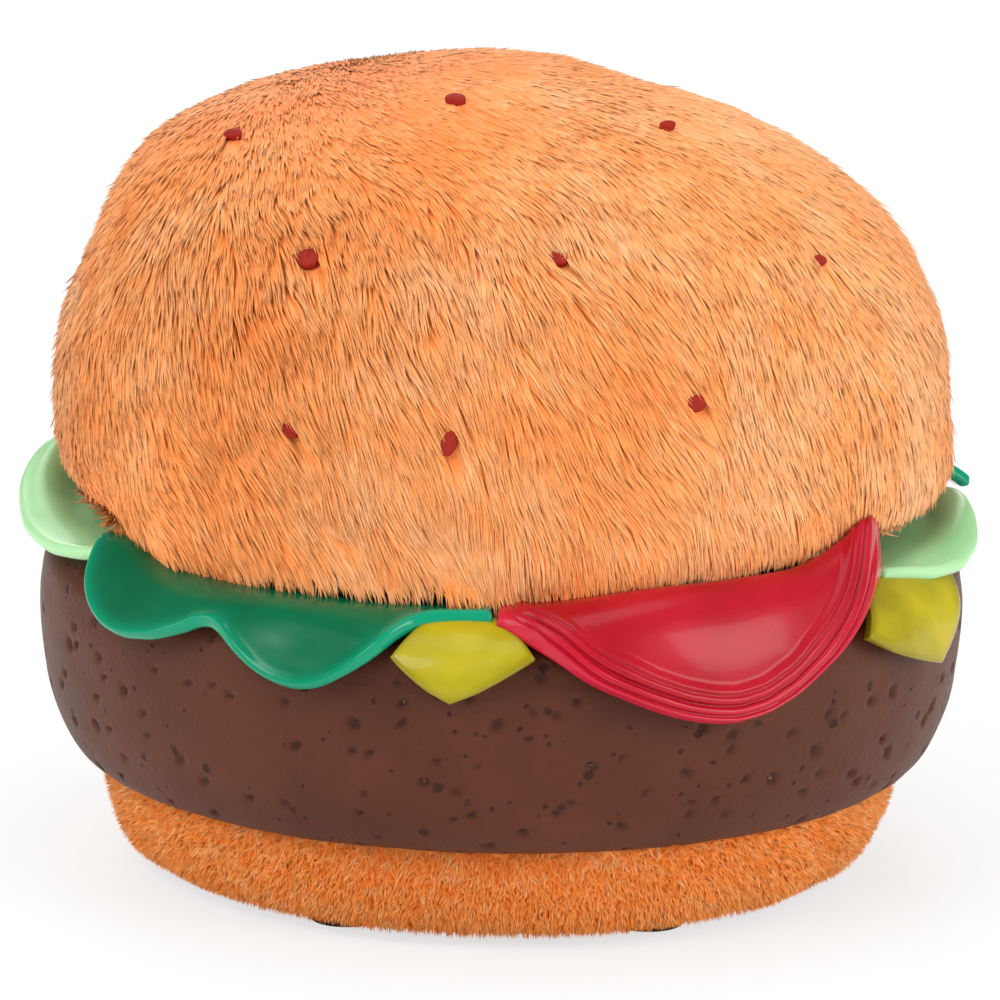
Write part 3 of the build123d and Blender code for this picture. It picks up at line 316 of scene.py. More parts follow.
for slot_name, (*words, plain) in FINISHES.items():
    finish_of[slot_name] = moulded(*words, **plain)
for part in frame["record"]["subparts"]:
    solid = nodes[part["node"]]
    if solid.material_slots:
        solid.material_slots[0].material = finish_of[part["material_slot"]]
    else:
        solid.data.materials.append(finish_of[part["material_slot"]])
print("finishes", len(finish_of))

# %% [markdown]
# The camera stands a metre away and a little above, with a long lens, as for a catalogue picture. The horizon
# leans by a degree. The lens is shifted by a few pixels, only as far as the framing needs.

# %% Camera
EYE = np.array([0.0, -1000.0, 285.1])
AIM = np.array([0.0, 0.0, 50.0])
LEAN = math.radians(0.9)
FRAME_PX = 1000
FOCAL_PX, MIDDLE_PX = 7574.0, (502.8, 493.2)
SENSOR_MM = 36.0

forward = (AIM - EYE) / np.linalg.norm(AIM - EYE)
level = np.cross(forward, [0, 0, 1])
level /= np.linalg.norm(level)
upright = np.cross(level, forward)
right = math.cos(LEAN) * level + math.sin(LEAN) * upright
up = math.cos(LEAN) * upright - math.sin(LEAN) * level
lens = bpy.data.cameras.new("camera")
lens.sensor_width = SENSOR_MM
lens.lens = FOCAL_PX / FRAME_PX * SENSOR_MM
lens.shift_x = (FRAME_PX / 2 - MIDDLE_PX[0]) / FRAME_PX
lens.shift_y = (MIDDLE_PX[1] - FRAME_PX / 2) / FRAME_PX
camera = bpy.data.objects.new("camera", lens)
rows = [[*row, place * MM] for *row, place in zip(right, up, -forward, EYE)]
camera.matrix_world = Matrix(rows + [[0, 0, 0, 1]])
scene.collection.objects.link(camera)
scene.camera = camera
print("lens", round(lens.lens, 1), "mm")

# %% [markdown]
# A white sweep and large soft lamps light the model evenly, so that each colour shows about as it is written.
# The white behind comes from what camera rays see, not from more light, and the floor keeps a shadow. Gloss
# mirrors a darker room, so that only the lamps make highlights, and deep colours stay deep.

# %% Floor, lamps and surroundings
AMBIENT, MIRRORED = 0.77, 0.2
FLOOR_LIFT = 0.7


def ray_is(tree, kind):
    """1 for rays of a kind, 0 for all others."""
    return add(tree, "LightPath").outputs[f"Is {kind} Ray"]


floor_mesh = bpy.data.meshes.new("floor")
floor_mesh.from_pydata([(-6, -6, 0), (6, -6, 0), (6, 6, 0), (-6, 6, 0)], [], [(0, 1, 2, 3)])
floor = bpy.data.objects.new("floor", floor_mesh)
scene.collection.objects.link(floor)
paper, tree, shader = start_material("white_paper", Base_Color=linear("#F4F4F2"), Roughness=0.9)
glow = add(tree, "Emission", {"Color": (1, 1, 1, 1), "Strength": 1.0}).outputs[0]
share = add(tree, "Math", {0: ray_is(tree, "Camera"), 1: FLOOR_LIFT}, operation="MULTIPLY").outputs[0]
mixed = add(tree, "MixShader", {0: share, 1: shader.outputs[0], 2: glow}).outputs[0]
tree.links.new(mixed, tree.nodes["Material Output"].inputs["Surface"])
floor_mesh.materials.append(paper)

world = bpy.data.worlds.new("studio")
scene.world = world
world.use_nodes = True
tree = world.node_tree
glossy = ray_is(tree, "Glossy")
dim = ramp(tree, glossy, low=AMBIENT, high=MIRRORED)
strength = add(tree, "Mix", {0: ray_is(tree, "Camera"), 2: dim, 3: 1.0}).outputs[0]
tree.links.new(strength, tree.nodes["Background"].inputs["Strength"])
tree.nodes["Background"].inputs["Color"].default_value = (1, 1, 1, 1)

LAMPS = [
    # name, place in m, aim in m, width, depth in m, watts
    ("key_softbox", (-0.75, -1.15, 1.25), (0, 0, 0.05), 0.7, 0.7, 9.5),
    ("side_softbox", (1.2, -0.8, 0.6), (0, 0, 0.05), 0.6, 0.8, 10.0),
    ("left_softbox", (-1.4, -0.3, 0.6), (0, 0, 0.05), 0.6, 0.8, 4.5),
    ("top_softbox", (0.1, -0.1, 1.5), (0, 0, 0.05), 0.9, 0.7, 4.0),
    ("back_softbox", (-0.3, 1.4, 0.9), (0, 0, 0.05), 0.9, 0.7, 6.0),
]
for lamp_name, place, aim, width, depth, watts in LAMPS:
    light = bpy.data.lights.new(lamp_name, "AREA")
    light.shape, light.size, light.size_y, light.energy = "RECTANGLE", width, depth, watts
    lamp = bpy.data.objects.new(lamp_name, light)
    way = np.array(place) - np.array(aim)
    way /= np.linalg.norm(way)
    side = np.cross([0, 0, 1], way)
    side /= np.linalg.norm(side)
    over = np.cross(way, side)
    lamp.matrix_world = Matrix([[*row, at] for *row, at in zip(side, over, way, place)] + [[0, 0, 0, 1]])
    scene.collection.objects.link(lamp)
scene.view_settings.view_transform = "Standard"

# %% [markdown]
# ## The top bun
# The bun is a stiff dome in a cover of long pile. The cover isn't a perfect dome: it is fuller at its left
# shoulder and on top, and it curls in under the rim. Its backing comes first, as a closed skin that
# everything else grows from.

# %% Outline of the backing
BUN_R, WIDEST_Z, DOME_H, SQUARENESS = 60.1, 62.0, 47.7, 2.35
CURL_R, CURL_Z = 55.3, 51.2
BACKING_T = 0.7
NOTCH_HALF, NOTCH_Z = 22.4, 58.2


def bun_outline():
    """The bun's outline from the crown to the lower edge, as radius, height, run and slope tables.

    The dome is a squarish ellipse, r = R cos(t)^(2/n) and z = H sin(t)^(2/n), and the curl a quarter ellipse.
    """
    t = np.radians(np.linspace(90, 0, 500))
    curl = np.radians(np.linspace(0, 90, 80))[1:]
    power = 2 / SQUARENESS
    radius = np.concatenate([BUN_R * np.cos(t).clip(0) ** power, CURL_R + (BUN_R - CURL_R) * np.cos(curl)])
    dome_height = WIDEST_Z + DOME_H * np.sin(t) ** power
    height = np.concatenate([dome_height, WIDEST_Z - (WIDEST_Z - CURL_Z) * np.sin(curl)])
    return even_steps(radius, height, 400)


SWELL_MIDDLE_Z, LOWEST_BACKING = 45.0, -3.4
PILE_DEPTH, EDGE_DEPTH = 2.1, 1.2
SLOW_MM, SLOW_WAVE = 0.5, 42
SWELL = [
    # direction in the front view, in degrees from the right over the top, and how far the bun stands out
    (0, 0.9), (14, 1.1), (20, 0.3), (31, 0.5), (36, -0.3), (41, -0.4), (47, -0.8), (52, -1.3), (57, -1.7),
    (62, -2.2), (66, -2.2), (71, -2.0), (75, -1.6), (80, -0.8), (84, 0.0), (89, 0.8), (97, 1.1), (106, 1.3),
    (111, 1.9), (121, 2.7), (126, 3.4), (131, 3.9), (136, 2.6), (141, 1.0), (146, 0.5), (151, 1.1),
    (157, 1.5), (162, 1.7), (180, 0.8),
]
RUN, OUT_R, OUT_Z, ALONG_R, ALONG_Z = bun_outline()
WIDEST_RUN = float(np.interp(-WIDEST_Z, -OUT_Z, RUN))
print("crown to edge", round(RUN[-1], 1), "mm, widest at", round(WIDEST_RUN, 1))


def bun_point(azimuth, run, lift=0.0):
    """Point on the backing at an azimuth and a run from the crown, or lift mm outside it, and its directions.

    The backing lies inside the outline by the pile's depth, less at the curled edge. It stands out as the
    table says, by the share of its direction that shows in the front view, and undulates slowly. The
    directions are down the meridian, towards the right, and outwards. The last result is how far the pile is
    pressed down, in mm.
    """
    radius, height = np.interp(run, RUN, OUT_R), np.interp(run, RUN, OUT_Z)
    along_r, along_z = np.interp(run, RUN, ALONG_R), np.interp(run, RUN, ALONG_Z)
    turn = np.radians(azimuth)
    sine, cosine = np.sin(turn), np.cos(turn)
    down = np.stack([along_r * sine, -along_r * cosine, along_z], -1)
    aside = np.stack([cosine, sine, np.zeros_like(sine)], -1)
    out = np.stack([-along_z * sine, along_z * cosine, along_r], -1)
    place = np.stack([radius * sine, -radius * cosine, height], -1)
    way = np.degrees(np.arctan2(height - SWELL_MIDDLE_Z, place[..., 0]))
    inset = EDGE_DEPTH + (PILE_DEPTH - EDGE_DEPTH) * ease(RUN[-1] + 2, WIDEST_RUN - 6, run)
    slow = SLOW_MM * ripple(place, SLOW_WAVE, 3) * ease(RUN[-1], WIDEST_RUN, run)
    offset = np.interp(way, *np.array(SWELL).T) * (1 - out[..., 1] ** 2) + slow - inset
    pressed = np.minimum(offset - LOWEST_BACKING, 0)
    return place + out * (offset - pressed + lift)[..., None], down, aside, out, pressed


# %% The backing as a closed skin
def last_run(azimuth):
    """Run at which the backing ends: the curled edge, or higher over the hinge's notch at the back."""
    back = np.abs((azimuth + 360) % 360 - 180)
    half = math.degrees(math.asin(NOTCH_HALF / BUN_R))
    over_notch = float(np.interp(-NOTCH_Z, -OUT_Z, RUN))
    return RUN[-1] + (over_notch - RUN[-1]) * ease(half + 2.5, half + 0.2, back)


def bun_backing():
    """Outer and inner rings of the backing, from the crown to its edge, the inner ones BACKING_T deeper."""
    azimuth = np.linspace(-180, 180, 288, endpoint=False)[None, :]
    share = np.linspace(0, 1, 72)[1:, None]
    run = share * last_run(azimuth)
    outer = bun_point(azimuth + 0 * run, run)[0]
    inner = bun_point(azimuth + 0 * run, run, -BACKING_T)[0][::-1]
    rings = np.concatenate([outer, inner])
    poles = [bun_point(np.array([0.0]), np.array([0.0]), lift)[0][0] for lift in (0, -BACKING_T)]
    return np.concatenate([rings.reshape(-1, 3), poles]), skin_faces(rings.shape[0], rings.shape[1])


knit, tree, shader = start_material("knitted_orange_backing", Roughness=0.85, Sheen_Weight=0.3)
place = add(tree, "TexCoord").outputs["Object"]
loops = add(tree, "TexVoronoi", {"Vector": place, "Scale": 1 / (0.9 * MM)}).outputs[0]
colour = blend(tree, noise(tree, 14, 3.0), "#FB9042", "#FFA45A")
wire(tree, shader, Base_Color=colour, Normal=relief(tree, loops, 0.5, 0.2))

backing = make_piece("top_bun_backing", *bun_backing(), knit, "lid", "long_plush")
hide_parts("top_bun_cover")

# %% [markdown]
# ### Seeds
# The seeds are satin stitch: dark red thread laid side by side across a small oval, padded underneath. Each
# is a low pillow with a furrow between threads. They sit down in the pile, so the strands that would cross a
# seed are cut short afterwards.

# %% Satin-stitched seeds
SEEDS = [
    # azimuth, height on the outline, length and width in mm, tilt
    (-64.0, 101.0, 3.4, 1.6, 20), (-21.2, 108.2, 2.8, 2.3, 0), (53.5, 106.5, 2.8, 1.3, -10),
    (-29.8, 91.0, 3.3, 2.7, 0), (7.8, 93.3, 2.8, 1.8, -15), (54.5, 90.1, 2.3, 1.4, -20),
    (-27.8, 70.1, 2.5, 1.9, -25), (-6.8, 70.2, 3.5, 2.1, 70), (25.5, 74.7, 2.8, 2.2, 10),
    (-112, 84.0, 3.2, 2.0, 10), (108, 80.0, 3.0, 2.0, 0), (-128, 99.0, 3.2, 2.0, 15),
    (165, 98.0, 3.2, 2.0, -10), (130, 92.0, 3.2, 2.2, 20), (-160, 80.0, 3.2, 2.2, 0),
]
SEED_LIFT, SEED_RISE, SEED_FOOT = 0.8, 0.4, 1.6
THREAD_MM, FURROW_MM = 0.36, 0.1


def seed_axes(azimuth, height, tilt):
    """A seed's centre on the pile, its long, cross and outward directions."""
    run = np.interp(-height, -OUT_Z, RUN)
    found = bun_point(np.array([azimuth]), np.array([run]), SEED_LIFT)
    centre, down, aside, out, _ = (part[0] for part in found)
    lean = math.radians(tilt)
    along = aside * math.cos(lean) - down * math.sin(lean)
    return centre, along, np.cross(out, along), out


def stitched_seed(azimuth, height, length, width, tilt):
    """A pillow over an oval: its height falls as the root of 1 - r squared, furrowed between the threads."""
    centre, along, across, out = seed_axes(azimuth, height, tilt)
    turn = np.linspace(0, 2 * math.pi, 48, endpoint=False)[None, :]
    share = np.linspace(0, 1, 15)[1:, None]
    x, y = share * np.cos(turn) * length / 2, share * np.sin(turn) * width / 2
    furrow = FURROW_MM * np.abs(np.sin(math.pi * (x + 0.25 * y) / THREAD_MM))
    rise = SEED_RISE * np.sqrt(1.0001 - share ** 2) ** 0.8 + furrow * (1 - share ** 6)
    top = centre + x[..., None] * along + y[..., None] * across + rise[..., None] * out
    foot = centre + 0.9 * (x[..., None] * along + y[..., None] * across) - SEED_FOOT * out
    rings = np.concatenate([top, foot[::-1]])
    poles = [centre + (SEED_RISE + 0.02) * out, centre - SEED_FOOT * out]
    return np.concatenate([rings.reshape(-1, 3), poles]), skin_faces(rings.shape[0], rings.shape[1])


thread, tree, shader = start_material("dark_red_rayon_thread", Roughness=0.6, Specular_IOR_Level=0.15)
ply = noise(tree, 0.5, 3.0)
colour = blend(tree, ply, "#7C1810", "#A82C1E")
wire(tree, shader, Base_Color=colour, Normal=relief(tree, ply, 0.5, 0.05))

seeds = make_piece("embroidered_seeds", *join([stitched_seed(*place) for place in SEEDS]), thread, "lid",
                   "seed_thread")
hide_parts("sesame_seeds")

# %% [markdown]
# ### The long pile
# A pile fibre is about 6 mm long, leans with the way the cloth was combed, and sticks to its neighbours in
# tufts. Blender's hair system would not leave this file as a mesh, so each visible strand is a thin three-
# sided spike with one bend, thicker than a real fibre. All strands are worked out at once. Their combing has
# a slight swirl, noise at three sizes, and partings where two ways meet, and strands lean together in tufts
# of three sizes.

# %% Where the strands grow and which way they lean
STRANDS, ROOT_LIFT = 109_000, -0.2
STRAND_MM, STRAND_W = 6.4, 0.42
BEND_AT, BEND_LEAN = 0.42, 0.2
WHORL = (-14.0, 51.0, 0.0)
WHORL_SHARE, WHORL_MM = 0.015, 5.0
WHORL_ROWS = 250  # rows of the outline, from the crown, that the whorl's strands grow in
PARTINGS = [
    # azimuth at top and bottom, height at top and bottom, turn (above 0 closes, below 0 opens), width
    (-6.0, -1.5, 62.0, 47.0, 15.0, 6.0),
    (-49.0, -57.0, 69.0, 49.0, -24.0, 5.0),
    (47.0, 53.0, 74.0, 53.0, 16.0, 6.0),
    (30.0, 26.0, 83.0, 70.0, 10.0, 6.0),
    (-20.0, -24.0, 60.0, 48.0, 10.0, 5.0),
    (24.0, 17.0, 66.0, 50.0, 10.0, 5.0),
]
FRINGE = [  # azimuth and lowest height of the hanging pile
    (-180, 51.0), (-130, 51.6), (-90, 53.4), (-70, 53.4), (-64, 50.4), (-59, 46.8), (-48, 46.8), (-27, 49.0),
    (-9, 48.4), (0, 47.6), (8, 48.8), (18, 50.0), (26, 50.6), (42, 51.8), (52, 52.2), (62, 52.8), (90, 52.8),
    (130, 51.6), (180, 51.0),
]

rng = np.random.default_rng(11)
weights = np.cumsum(OUT_R + 0.5)
run = np.interp(rng.random(STRANDS) * weights[-1], weights, RUN)
azimuth = rng.random(STRANDS) * 360 - 180
near = int(STRANDS * WHORL_SHARE)
spot = np.array(WHORL)[:2] + rng.normal(size=(near, 2)) * WHORL_MM
run[:near] = np.interp(np.hypot(*spot.T), OUT_R[:WHORL_ROWS], RUN[:WHORL_ROWS])
azimuth[:near] = np.degrees(np.arctan2(spot[:, 0], -spot[:, 1]))
grows = run < last_run(azimuth) - 0.3
run, azimuth = run[grows], azimuth[grows]
roots, _, _, out, pressed = bun_point(azimuth, run, ROOT_LIFT)
print("strands", len(run))


def comb_turn(azimuth, run, place):
    """Angle in degrees that the comb turns to the right: a swirl, noises and the partings.

    The swirl is strongest on the crown, and the two finer noises are weakest there.
    """
    calm = 0.3 + 0.7 * ease(22, 52, run)
    turn = 17 + 14 * ease(58, 14, run) + 10 * ripple(place, 46, 21)
    turn += calm * (7 * ripple(place, 15, 22) + 6 * ripple(place, 5, 23))
    height = place[:, 2]
    for top, bottom, high, low, angle, width in PARTINGS:
        line = np.interp(height, [low, high], [bottom, top]) + 1.6 * np.sin(height * 0.42 + low)
        off = ((azimuth - line + 180) % 360 - 180) / width
        within = ease(low - 4, low + 2, height) * ease(high + 6, high - 4, height)
        turn -= 1.6 * angle * off * np.exp(0.5 - off ** 2) * within
    return turn


def lean(azimuth, run, out, pressed, place):
    """Directions of a strand at its root and its tip: combed along the cloth, rising at the root.

    The comb leads away from a whorl behind the crown, and down. The pile lies flatter on the crown. Over the
    front the lowest strands hang free, and at the sides they are tucked in along the curled edge.
    """
    turn = np.radians(comb_turn(azimuth, run, place))[:, None]
    flow = place - np.array(WHORL)
    flow[:, 2] = 0
    away = np.linalg.norm(flow, axis=1)[:, None] + 1e-6
    flow /= away
    flow[:, 2] = -0.8
    flow -= (flow * out).sum(axis=1)[:, None] * out
    flow /= np.linalg.norm(flow, axis=1)[:, None] + 1e-6
    comb = flow * np.cos(turn) + np.cross(out, flow) * np.sin(turn)
    hang = ease(WIDEST_RUN - 4, RUN[-1], run)
    tucked = np.maximum(ease(-57, -67, azimuth), ease(52, 64, azimuth))
    free = (0.75 * hang * (1 - tucked))[:, None]
    comb = comb * (1 - free) + on_azimuth(-0.3, azimuth, -1.0) * free
    comb *= (0.25 + 0.75 * ease(1, 7, away)) / np.linalg.norm(comb, axis=1)[:, None]
    flat = 0.16 + 0.84 * ease(20, 62, run)
    rise = (flat * (1 + pressed / PILE_DEPTH) * (1 - 0.75 * hang * tucked))[:, None]
    root_way = comb * 0.92 + out * 0.32 * rise
    tip_way = comb * 0.98 + out * (0.11 - 0.07 * hang[:, None]) * rise
    return root_way, tip_way


# %% Tufts, length, seeds and fringe
STRAYS, TUFT_MM = 0.05, 1.02 * STRAND_MM
TUFTS = [(6.5, 0.16, 41), (2.4, 0.18, 43), (1.0, 0.14, 45)]  # cell in mm, pull on the tips, random seed
ROOM_AT_SEED, NEAR_SEED = 0.1, 4
SHORTEST = 0.18


def bent(root, length, root_way, tip_way):
    """Bend and tip of a strand: it leaves mostly by the root's way and goes on by the tip's."""
    middle = root + length * BEND_AT * ((1 - BEND_LEAN) * root_way + BEND_LEAN * tip_way)
    return middle, middle + length * (1 - BEND_AT) * tip_way


plane = run[:, None] * np.stack([np.sin(np.radians(azimuth)), -np.cos(np.radians(azimuth))], -1)
root_way, tip_way = lean(azimuth, run, out, pressed, roots)
length = STRAND_MM * rng.uniform(0.78, 1.12, len(run)) * (1 - 0.12 * ripple(roots, 9, 31))
jitter = rng.normal(size=(len(run), 3))
stray = np.where(rng.random(len(run)) < STRAYS, 0.05 + 0.17 * ease(25, 62, run), 0.0)[:, None]
tip_way = tip_way + (0.03 + 0.03 * ease(18, 60, run))[:, None] * jitter + stray * out
middle, tips = bent(roots, length[:, None], root_way, tip_way)

loose = (0.45 + 0.55 * ease(15, 55, run))[:, None]
for cell, pull, seed in TUFTS:
    centre, _ = nearest_centre(plane, cell, seed)
    tuft_run = np.linalg.norm(centre, axis=1).clip(0.05, RUN[-1])
    tuft_az = np.degrees(np.arctan2(centre[:, 0], -centre[:, 1]))
    tuft_root, _, _, *outward = bun_point(tuft_az, tuft_run, 0.3)
    tuft_ways = lean(tuft_az, tuft_run, *outward, tuft_root)
    tuft_middle, tuft_tip = bent(tuft_root, TUFT_MM, *tuft_ways)
    middle += pull * loose * 0.35 * (tuft_middle - middle)
    tips += pull * loose * (tuft_tip - tips)

locks = 0.7 * np.sin(azimuth * 0.9) * np.sin(azimuth * 0.37 + 1) + 0.4 * np.sin(azimuth * 2.3)
lowest = np.interp(azimuth, *np.array(FRINGE).T) + locks + rng.uniform(-0.8, 1.2, len(run))
reach = np.clip((roots[:, 2] - lowest) / np.maximum(roots[:, 2] - tips[:, 2], 0.01), 0, 1)
keep_share = np.where(tips[:, 2] < lowest, reach, 1.0)
for seed_azimuth, height, seed_length, seed_width, tilt in SEEDS:
    centre, along, across, out_way = seed_axes(seed_azimuth, height, tilt)
    for share in (0.0, 0.2, 0.4, 0.6, 0.8, 1.0):
        if share < 0.5:
            spot = roots + (middle - roots) * share * 2
        else:
            spot = middle + (tips - middle) * (share * 2 - 1)
        off = spot - centre
        across_share = off @ across / (seed_width / 2 - ROOM_AT_SEED)
        inside = np.hypot(off @ along / (seed_length / 2 - ROOM_AT_SEED), across_share) < 1
        inside &= np.abs(off @ out_way) < NEAR_SEED
        keep_share = np.where(inside, np.minimum(keep_share, max(share - 0.12, 0)), keep_share)
middle = roots + (middle - roots) * keep_share[:, None]
tips = middle + (tips - middle) * keep_share[:, None]
there = keep_share > SHORTEST
longest = np.linalg.norm(tips - roots, axis=1).max()
print("strands kept", int(there.sum()), "longest reach", round(float(longest), 1))


# %% [markdown]
# A strand's colour depends only on how far along it a point is and on the strand itself: deep orange at the
# root where light is lost, pale at the tip where the fibre thins. Both numbers go into its UV map, so one
# material serves all strands, and each part of the pile can lean towards paler or deeper strands. On the long
# pile the tint runs deeper on the left and paler on the right, and deeper on the crown as painted shade.


# %% Strands as closed spikes
ROOT_SHARE, BEND_SHARE, ROUND = 0.58, 0.5, 0.2
SIDES = ((0, 1), (1, 2), (2, 0))


def strand_rings(way, out, twist):
    """Unit triangles square to each strand, with one ridge outwards, twisted by a few degrees.

    The two axes of the ring are way cross out and way cross that, turned to point away from the cloth.
    """
    first = np.cross(way, out)
    first /= np.linalg.norm(first, axis=1)[:, None] + 1e-9
    second = np.cross(way, first)
    second /= np.linalg.norm(second, axis=1)[:, None] + 1e-9
    outward = np.where((second * out).sum(axis=1) > 0, 1.0, -1.0)[:, None]
    angle = np.radians([90, 210, 330])[None, :] + np.radians(twist)[:, None]
    return first[:, None] * np.cos(angle)[..., None] + (outward * second)[:, None] * np.sin(angle)[..., None]


def shaded_way(out, least):
    """Direction that fibres are shaded by: the cloth's own, or nearly level where the cloth faces down.

    Fibres scatter light down to those under an overhang, which a single direction cannot show.
    """
    way = out * 1.0
    way[:, 2] = np.maximum(way[:, 2], least)
    return way / np.linalg.norm(way, axis=1)[:, None]


def spikes(stations, tips, out, widths, tint, twist, least):
    """Three-sided spikes: a ring of three points at each station and one point at the tip.

    stations lists points, the ring's share of the width there, and how far along the strand they are. Each
    point's UV is its share of the length and the strand's tint, with a little width to the tint. Fibres let
    light through to each other, so a point is shaded mostly by the cloth's own direction, and by its strand
    a bit.
    """
    way = tips - stations[0][0]
    way /= np.linalg.norm(way, axis=1)[:, None] + 1e-9
    ring = strand_rings(way, out, twist)
    thick = ring * widths[:, None, None]
    rings = [place[:, None] + thick * share for place, share, _ in stations]
    points = np.concatenate([*rings, tips[:, None]], axis=1)
    lit = shaded_way(out, least)[:, None]
    normals = np.concatenate([lit + ROUND * ring] * len(stations) + [lit], axis=1)
    normals /= np.linalg.norm(normals, axis=2)[..., None]
    tip = 3 * len(stations)
    last = tip - 3
    quads = [(k + i, k + j, k + j + 3, k + i + 3) for k in range(0, last, 3) for i, j in SIDES]
    triangles = [(0, 2, 1)] + [(last + i, last + j, tip) for i, j in SIDES]
    corner = np.arange(len(tips))[:, None] * (tip + 1)
    faces = [(corner + np.ravel(group)).reshape(-1, len(group[0])) for group in (quads, triangles) if group]
    along = np.append(np.repeat([far for *_, far in stations], 3), 1.0)
    along[1] = 0.03
    beside = np.append(np.tile([0.0, 0.004, 0.008], len(stations)), 0.004)
    uv = np.stack(np.broadcast_arrays(along[None, :], tint[:, None] * 0.97 + 0.01 + beside[None, :]), -1)
    return points.reshape(-1, 3), faces, uv.reshape(-1, 2), normals.reshape(-1, 3)


# %% Material of the long pile
TINT_SHARE = 0.6
LONG_LEAST, SHORT_LEAST = 0.05, 0.0  # how level the shading of a downward face is, at the least


def pile_material(name, root, body_shade, tip, pale, deep):
    """Root, body and tip shades along the strand, then paler or deeper by the strand's tint."""
    material, tree, shader = start_material(name, Roughness=0.6, Specular_IOR_Level=0.1, Sheen_Weight=0.12,
                                            Sheen_Roughness=0.4)
    place = add(tree, "SeparateXYZ", {0: add(tree, "UVMap", uv_map="strand").outputs[0]}).outputs
    colour = blend(tree, ramp(tree, place[0], end=0.45), root, body_shade)
    colour = blend(tree, ramp(tree, place[0], 0.45), colour, tip)
    for end, shade in ((1.0, pale), (0.0, deep)):
        colour = blend(tree, ramp(tree, place[1], 0.5, end, high=TINT_SHARE), colour, shade)
    wire(tree, shader, Base_Color=colour)
    return material


long_pile = pile_material("combed_orange_fur", "#FC8636", "#FC964C", "#FFB070", "#FFCA9A", "#F97E2E")
tint = 0.5 + 0.16 * ripple(roots, 34, 51) + 0.12 * ripple(roots, 11, 52) + rng.uniform(-0.28, 0.28, len(run))
# tint runs deeper on the left and paler on the right; the deeper tint on the crown is painted shade
tint += 0.16 * np.sin(np.radians(azimuth + 10)) - 0.16 * ease(62, 25, run)
tint = np.clip(tint, 0.01, 0.99)
widths = STRAND_W * rng.uniform(0.75, 1.2, len(run)) * (1.45 - 0.45 * ease(12, 58, run))
twist = rng.normal(size=len(run)) * 22
order = np.argsort(azimuth[there], kind="stable")
parts = [part[there][order] for part in (roots, middle, tips, out, widths, tint, twist)]
GORES = 7
for gore in range(GORES):
    cut = slice(gore * len(order) // GORES, (gore + 1) * len(order) // GORES)
    foot, bend, *rest = (part[cut] for part in parts)
    stations = [(foot, ROOT_SHARE, 0.0), (bend, BEND_SHARE, 0.5)]
    points, faces, uv, normals = spikes(stations, *rest, LONG_LEAST)
    make_piece(f"top_bun_pile_{gore + 1}", points, faces, long_pile, "lid", "long_plush", uv=uv,
               normals=normals)

# %% [markdown]
# ## The bottom bun
# The lower bun wears a short velour. Its cloth is drawn tight under the patty and tucked round the flat
# underside. The same kind of closed backing carries it, with short straight fibres that lean every way.

# %% Backing and short pile of the bottom bun
LOW_R, LOW_Z, LOW_OUT, LOW_HIGH = 46.4, 15.2, 7.9, 13.6
LOW_BACKING, SHORT_ROOTS = -1.3, -1.4
SHORT_STRANDS, SHORT_MM, SHORT_W = 48_000, 1.7, 0.40


def low_bun(azimuth, angle, lift):
    """Side of the bottom bun: a quarter ellipse from its widest level, angle 0, to the underside, angle 90.

    The cloth puckers slightly in folds that run down the side. Returns points and outward directions.
    """
    a, turn = np.radians(angle), np.radians(azimuth)
    normal_r, normal_z = np.cos(a) / LOW_OUT, -np.sin(a) / LOW_HIGH
    scale = np.hypot(normal_r, normal_z)
    normal_r, normal_z = normal_r / scale, normal_z / scale
    pucker = 0.35 * ripple(np.stack([np.sin(turn) * 52, np.cos(turn) * 52, a * 6], -1), 17, 61)
    pucker *= np.sin(2 * a)
    radius = LOW_R + LOW_OUT * np.cos(a) + normal_r * (lift + pucker)
    height = LOW_Z - LOW_HIGH * np.sin(a) + normal_z * (lift + pucker)
    out = np.stack([normal_r * np.sin(turn), -normal_r * np.cos(turn), normal_z], -1)
    return on_azimuth(radius, azimuth, height), out


around, angle = np.meshgrid(np.linspace(-180, 180, 360, endpoint=False), np.linspace(0, 88, 26))
front, back = (low_bun(around, angle, lift)[0] for lift in (LOW_BACKING, LOW_BACKING - BACKING_T))
cloth = make_piece("bottom_bun_backing", np.concatenate([front.reshape(-1, 3), back.reshape(-1, 3)]),
                   slab_faces(np.ones((25, 360), bool), wrap=True), knit, "base", "short_plush")
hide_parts("bottom_bun_cover")

rng = np.random.default_rng(17)
azimuth = rng.random(SHORT_STRANDS) * 360 - 180
angle = 88 * rng.random(SHORT_STRANDS) + 1.5
roots, out = low_bun(azimuth, angle, SHORT_ROOTS)
plane = np.stack([azimuth * 0.92, angle * 0.25], -1)
toward = (nearest_centre(plane, 1.5, 63)[0] - plane) * 0.45
aside = on_azimuth(1.0, azimuth + 90, 0.0)
sag = np.array([0, 0, -1.0])
way = out + 0.35 * rng.normal(size=roots.shape) + sag * 0.45 + aside * toward[:, :1] - sag * toward[:, 1:]
way /= np.linalg.norm(way, axis=1)[:, None]
hem = ease(72, 86, angle)
way = way * (1 - 0.6 * hem[:, None]) + sag * 0.6 * hem[:, None]
tips = roots + way * (SHORT_MM * rng.uniform(0.75, 1.15, SHORT_STRANDS) * (1 + 0.2 * hem))[:, None]
tips[:, 2] = np.maximum(tips[:, 2], 0.15)
short_pile = pile_material("short_orange_velour", "#FF822A", "#FF903A", "#FFA356", "#FFC890", "#FC7A22")
tint = 0.45 + 0.12 * ripple(roots, 5, 64) + 0.25 * ripple(roots, 1.8, 65)
tint = np.clip(tint + rng.uniform(-0.35, 0.35, SHORT_STRANDS), 0.01, 0.99)

widths = SHORT_W * rng.uniform(0.8, 1.2, SHORT_STRANDS)
twist = 30 * rng.normal(size=SHORT_STRANDS)
stations = [(roots, ROOT_SHARE, 0.0)]
points, faces, uv, normals = spikes(stations, tips, out, widths, tint, twist, SHORT_LEAST)
make_piece("bottom_bun_pile", points, faces, short_pile, "base", "short_plush", uv=uv, normals=normals)
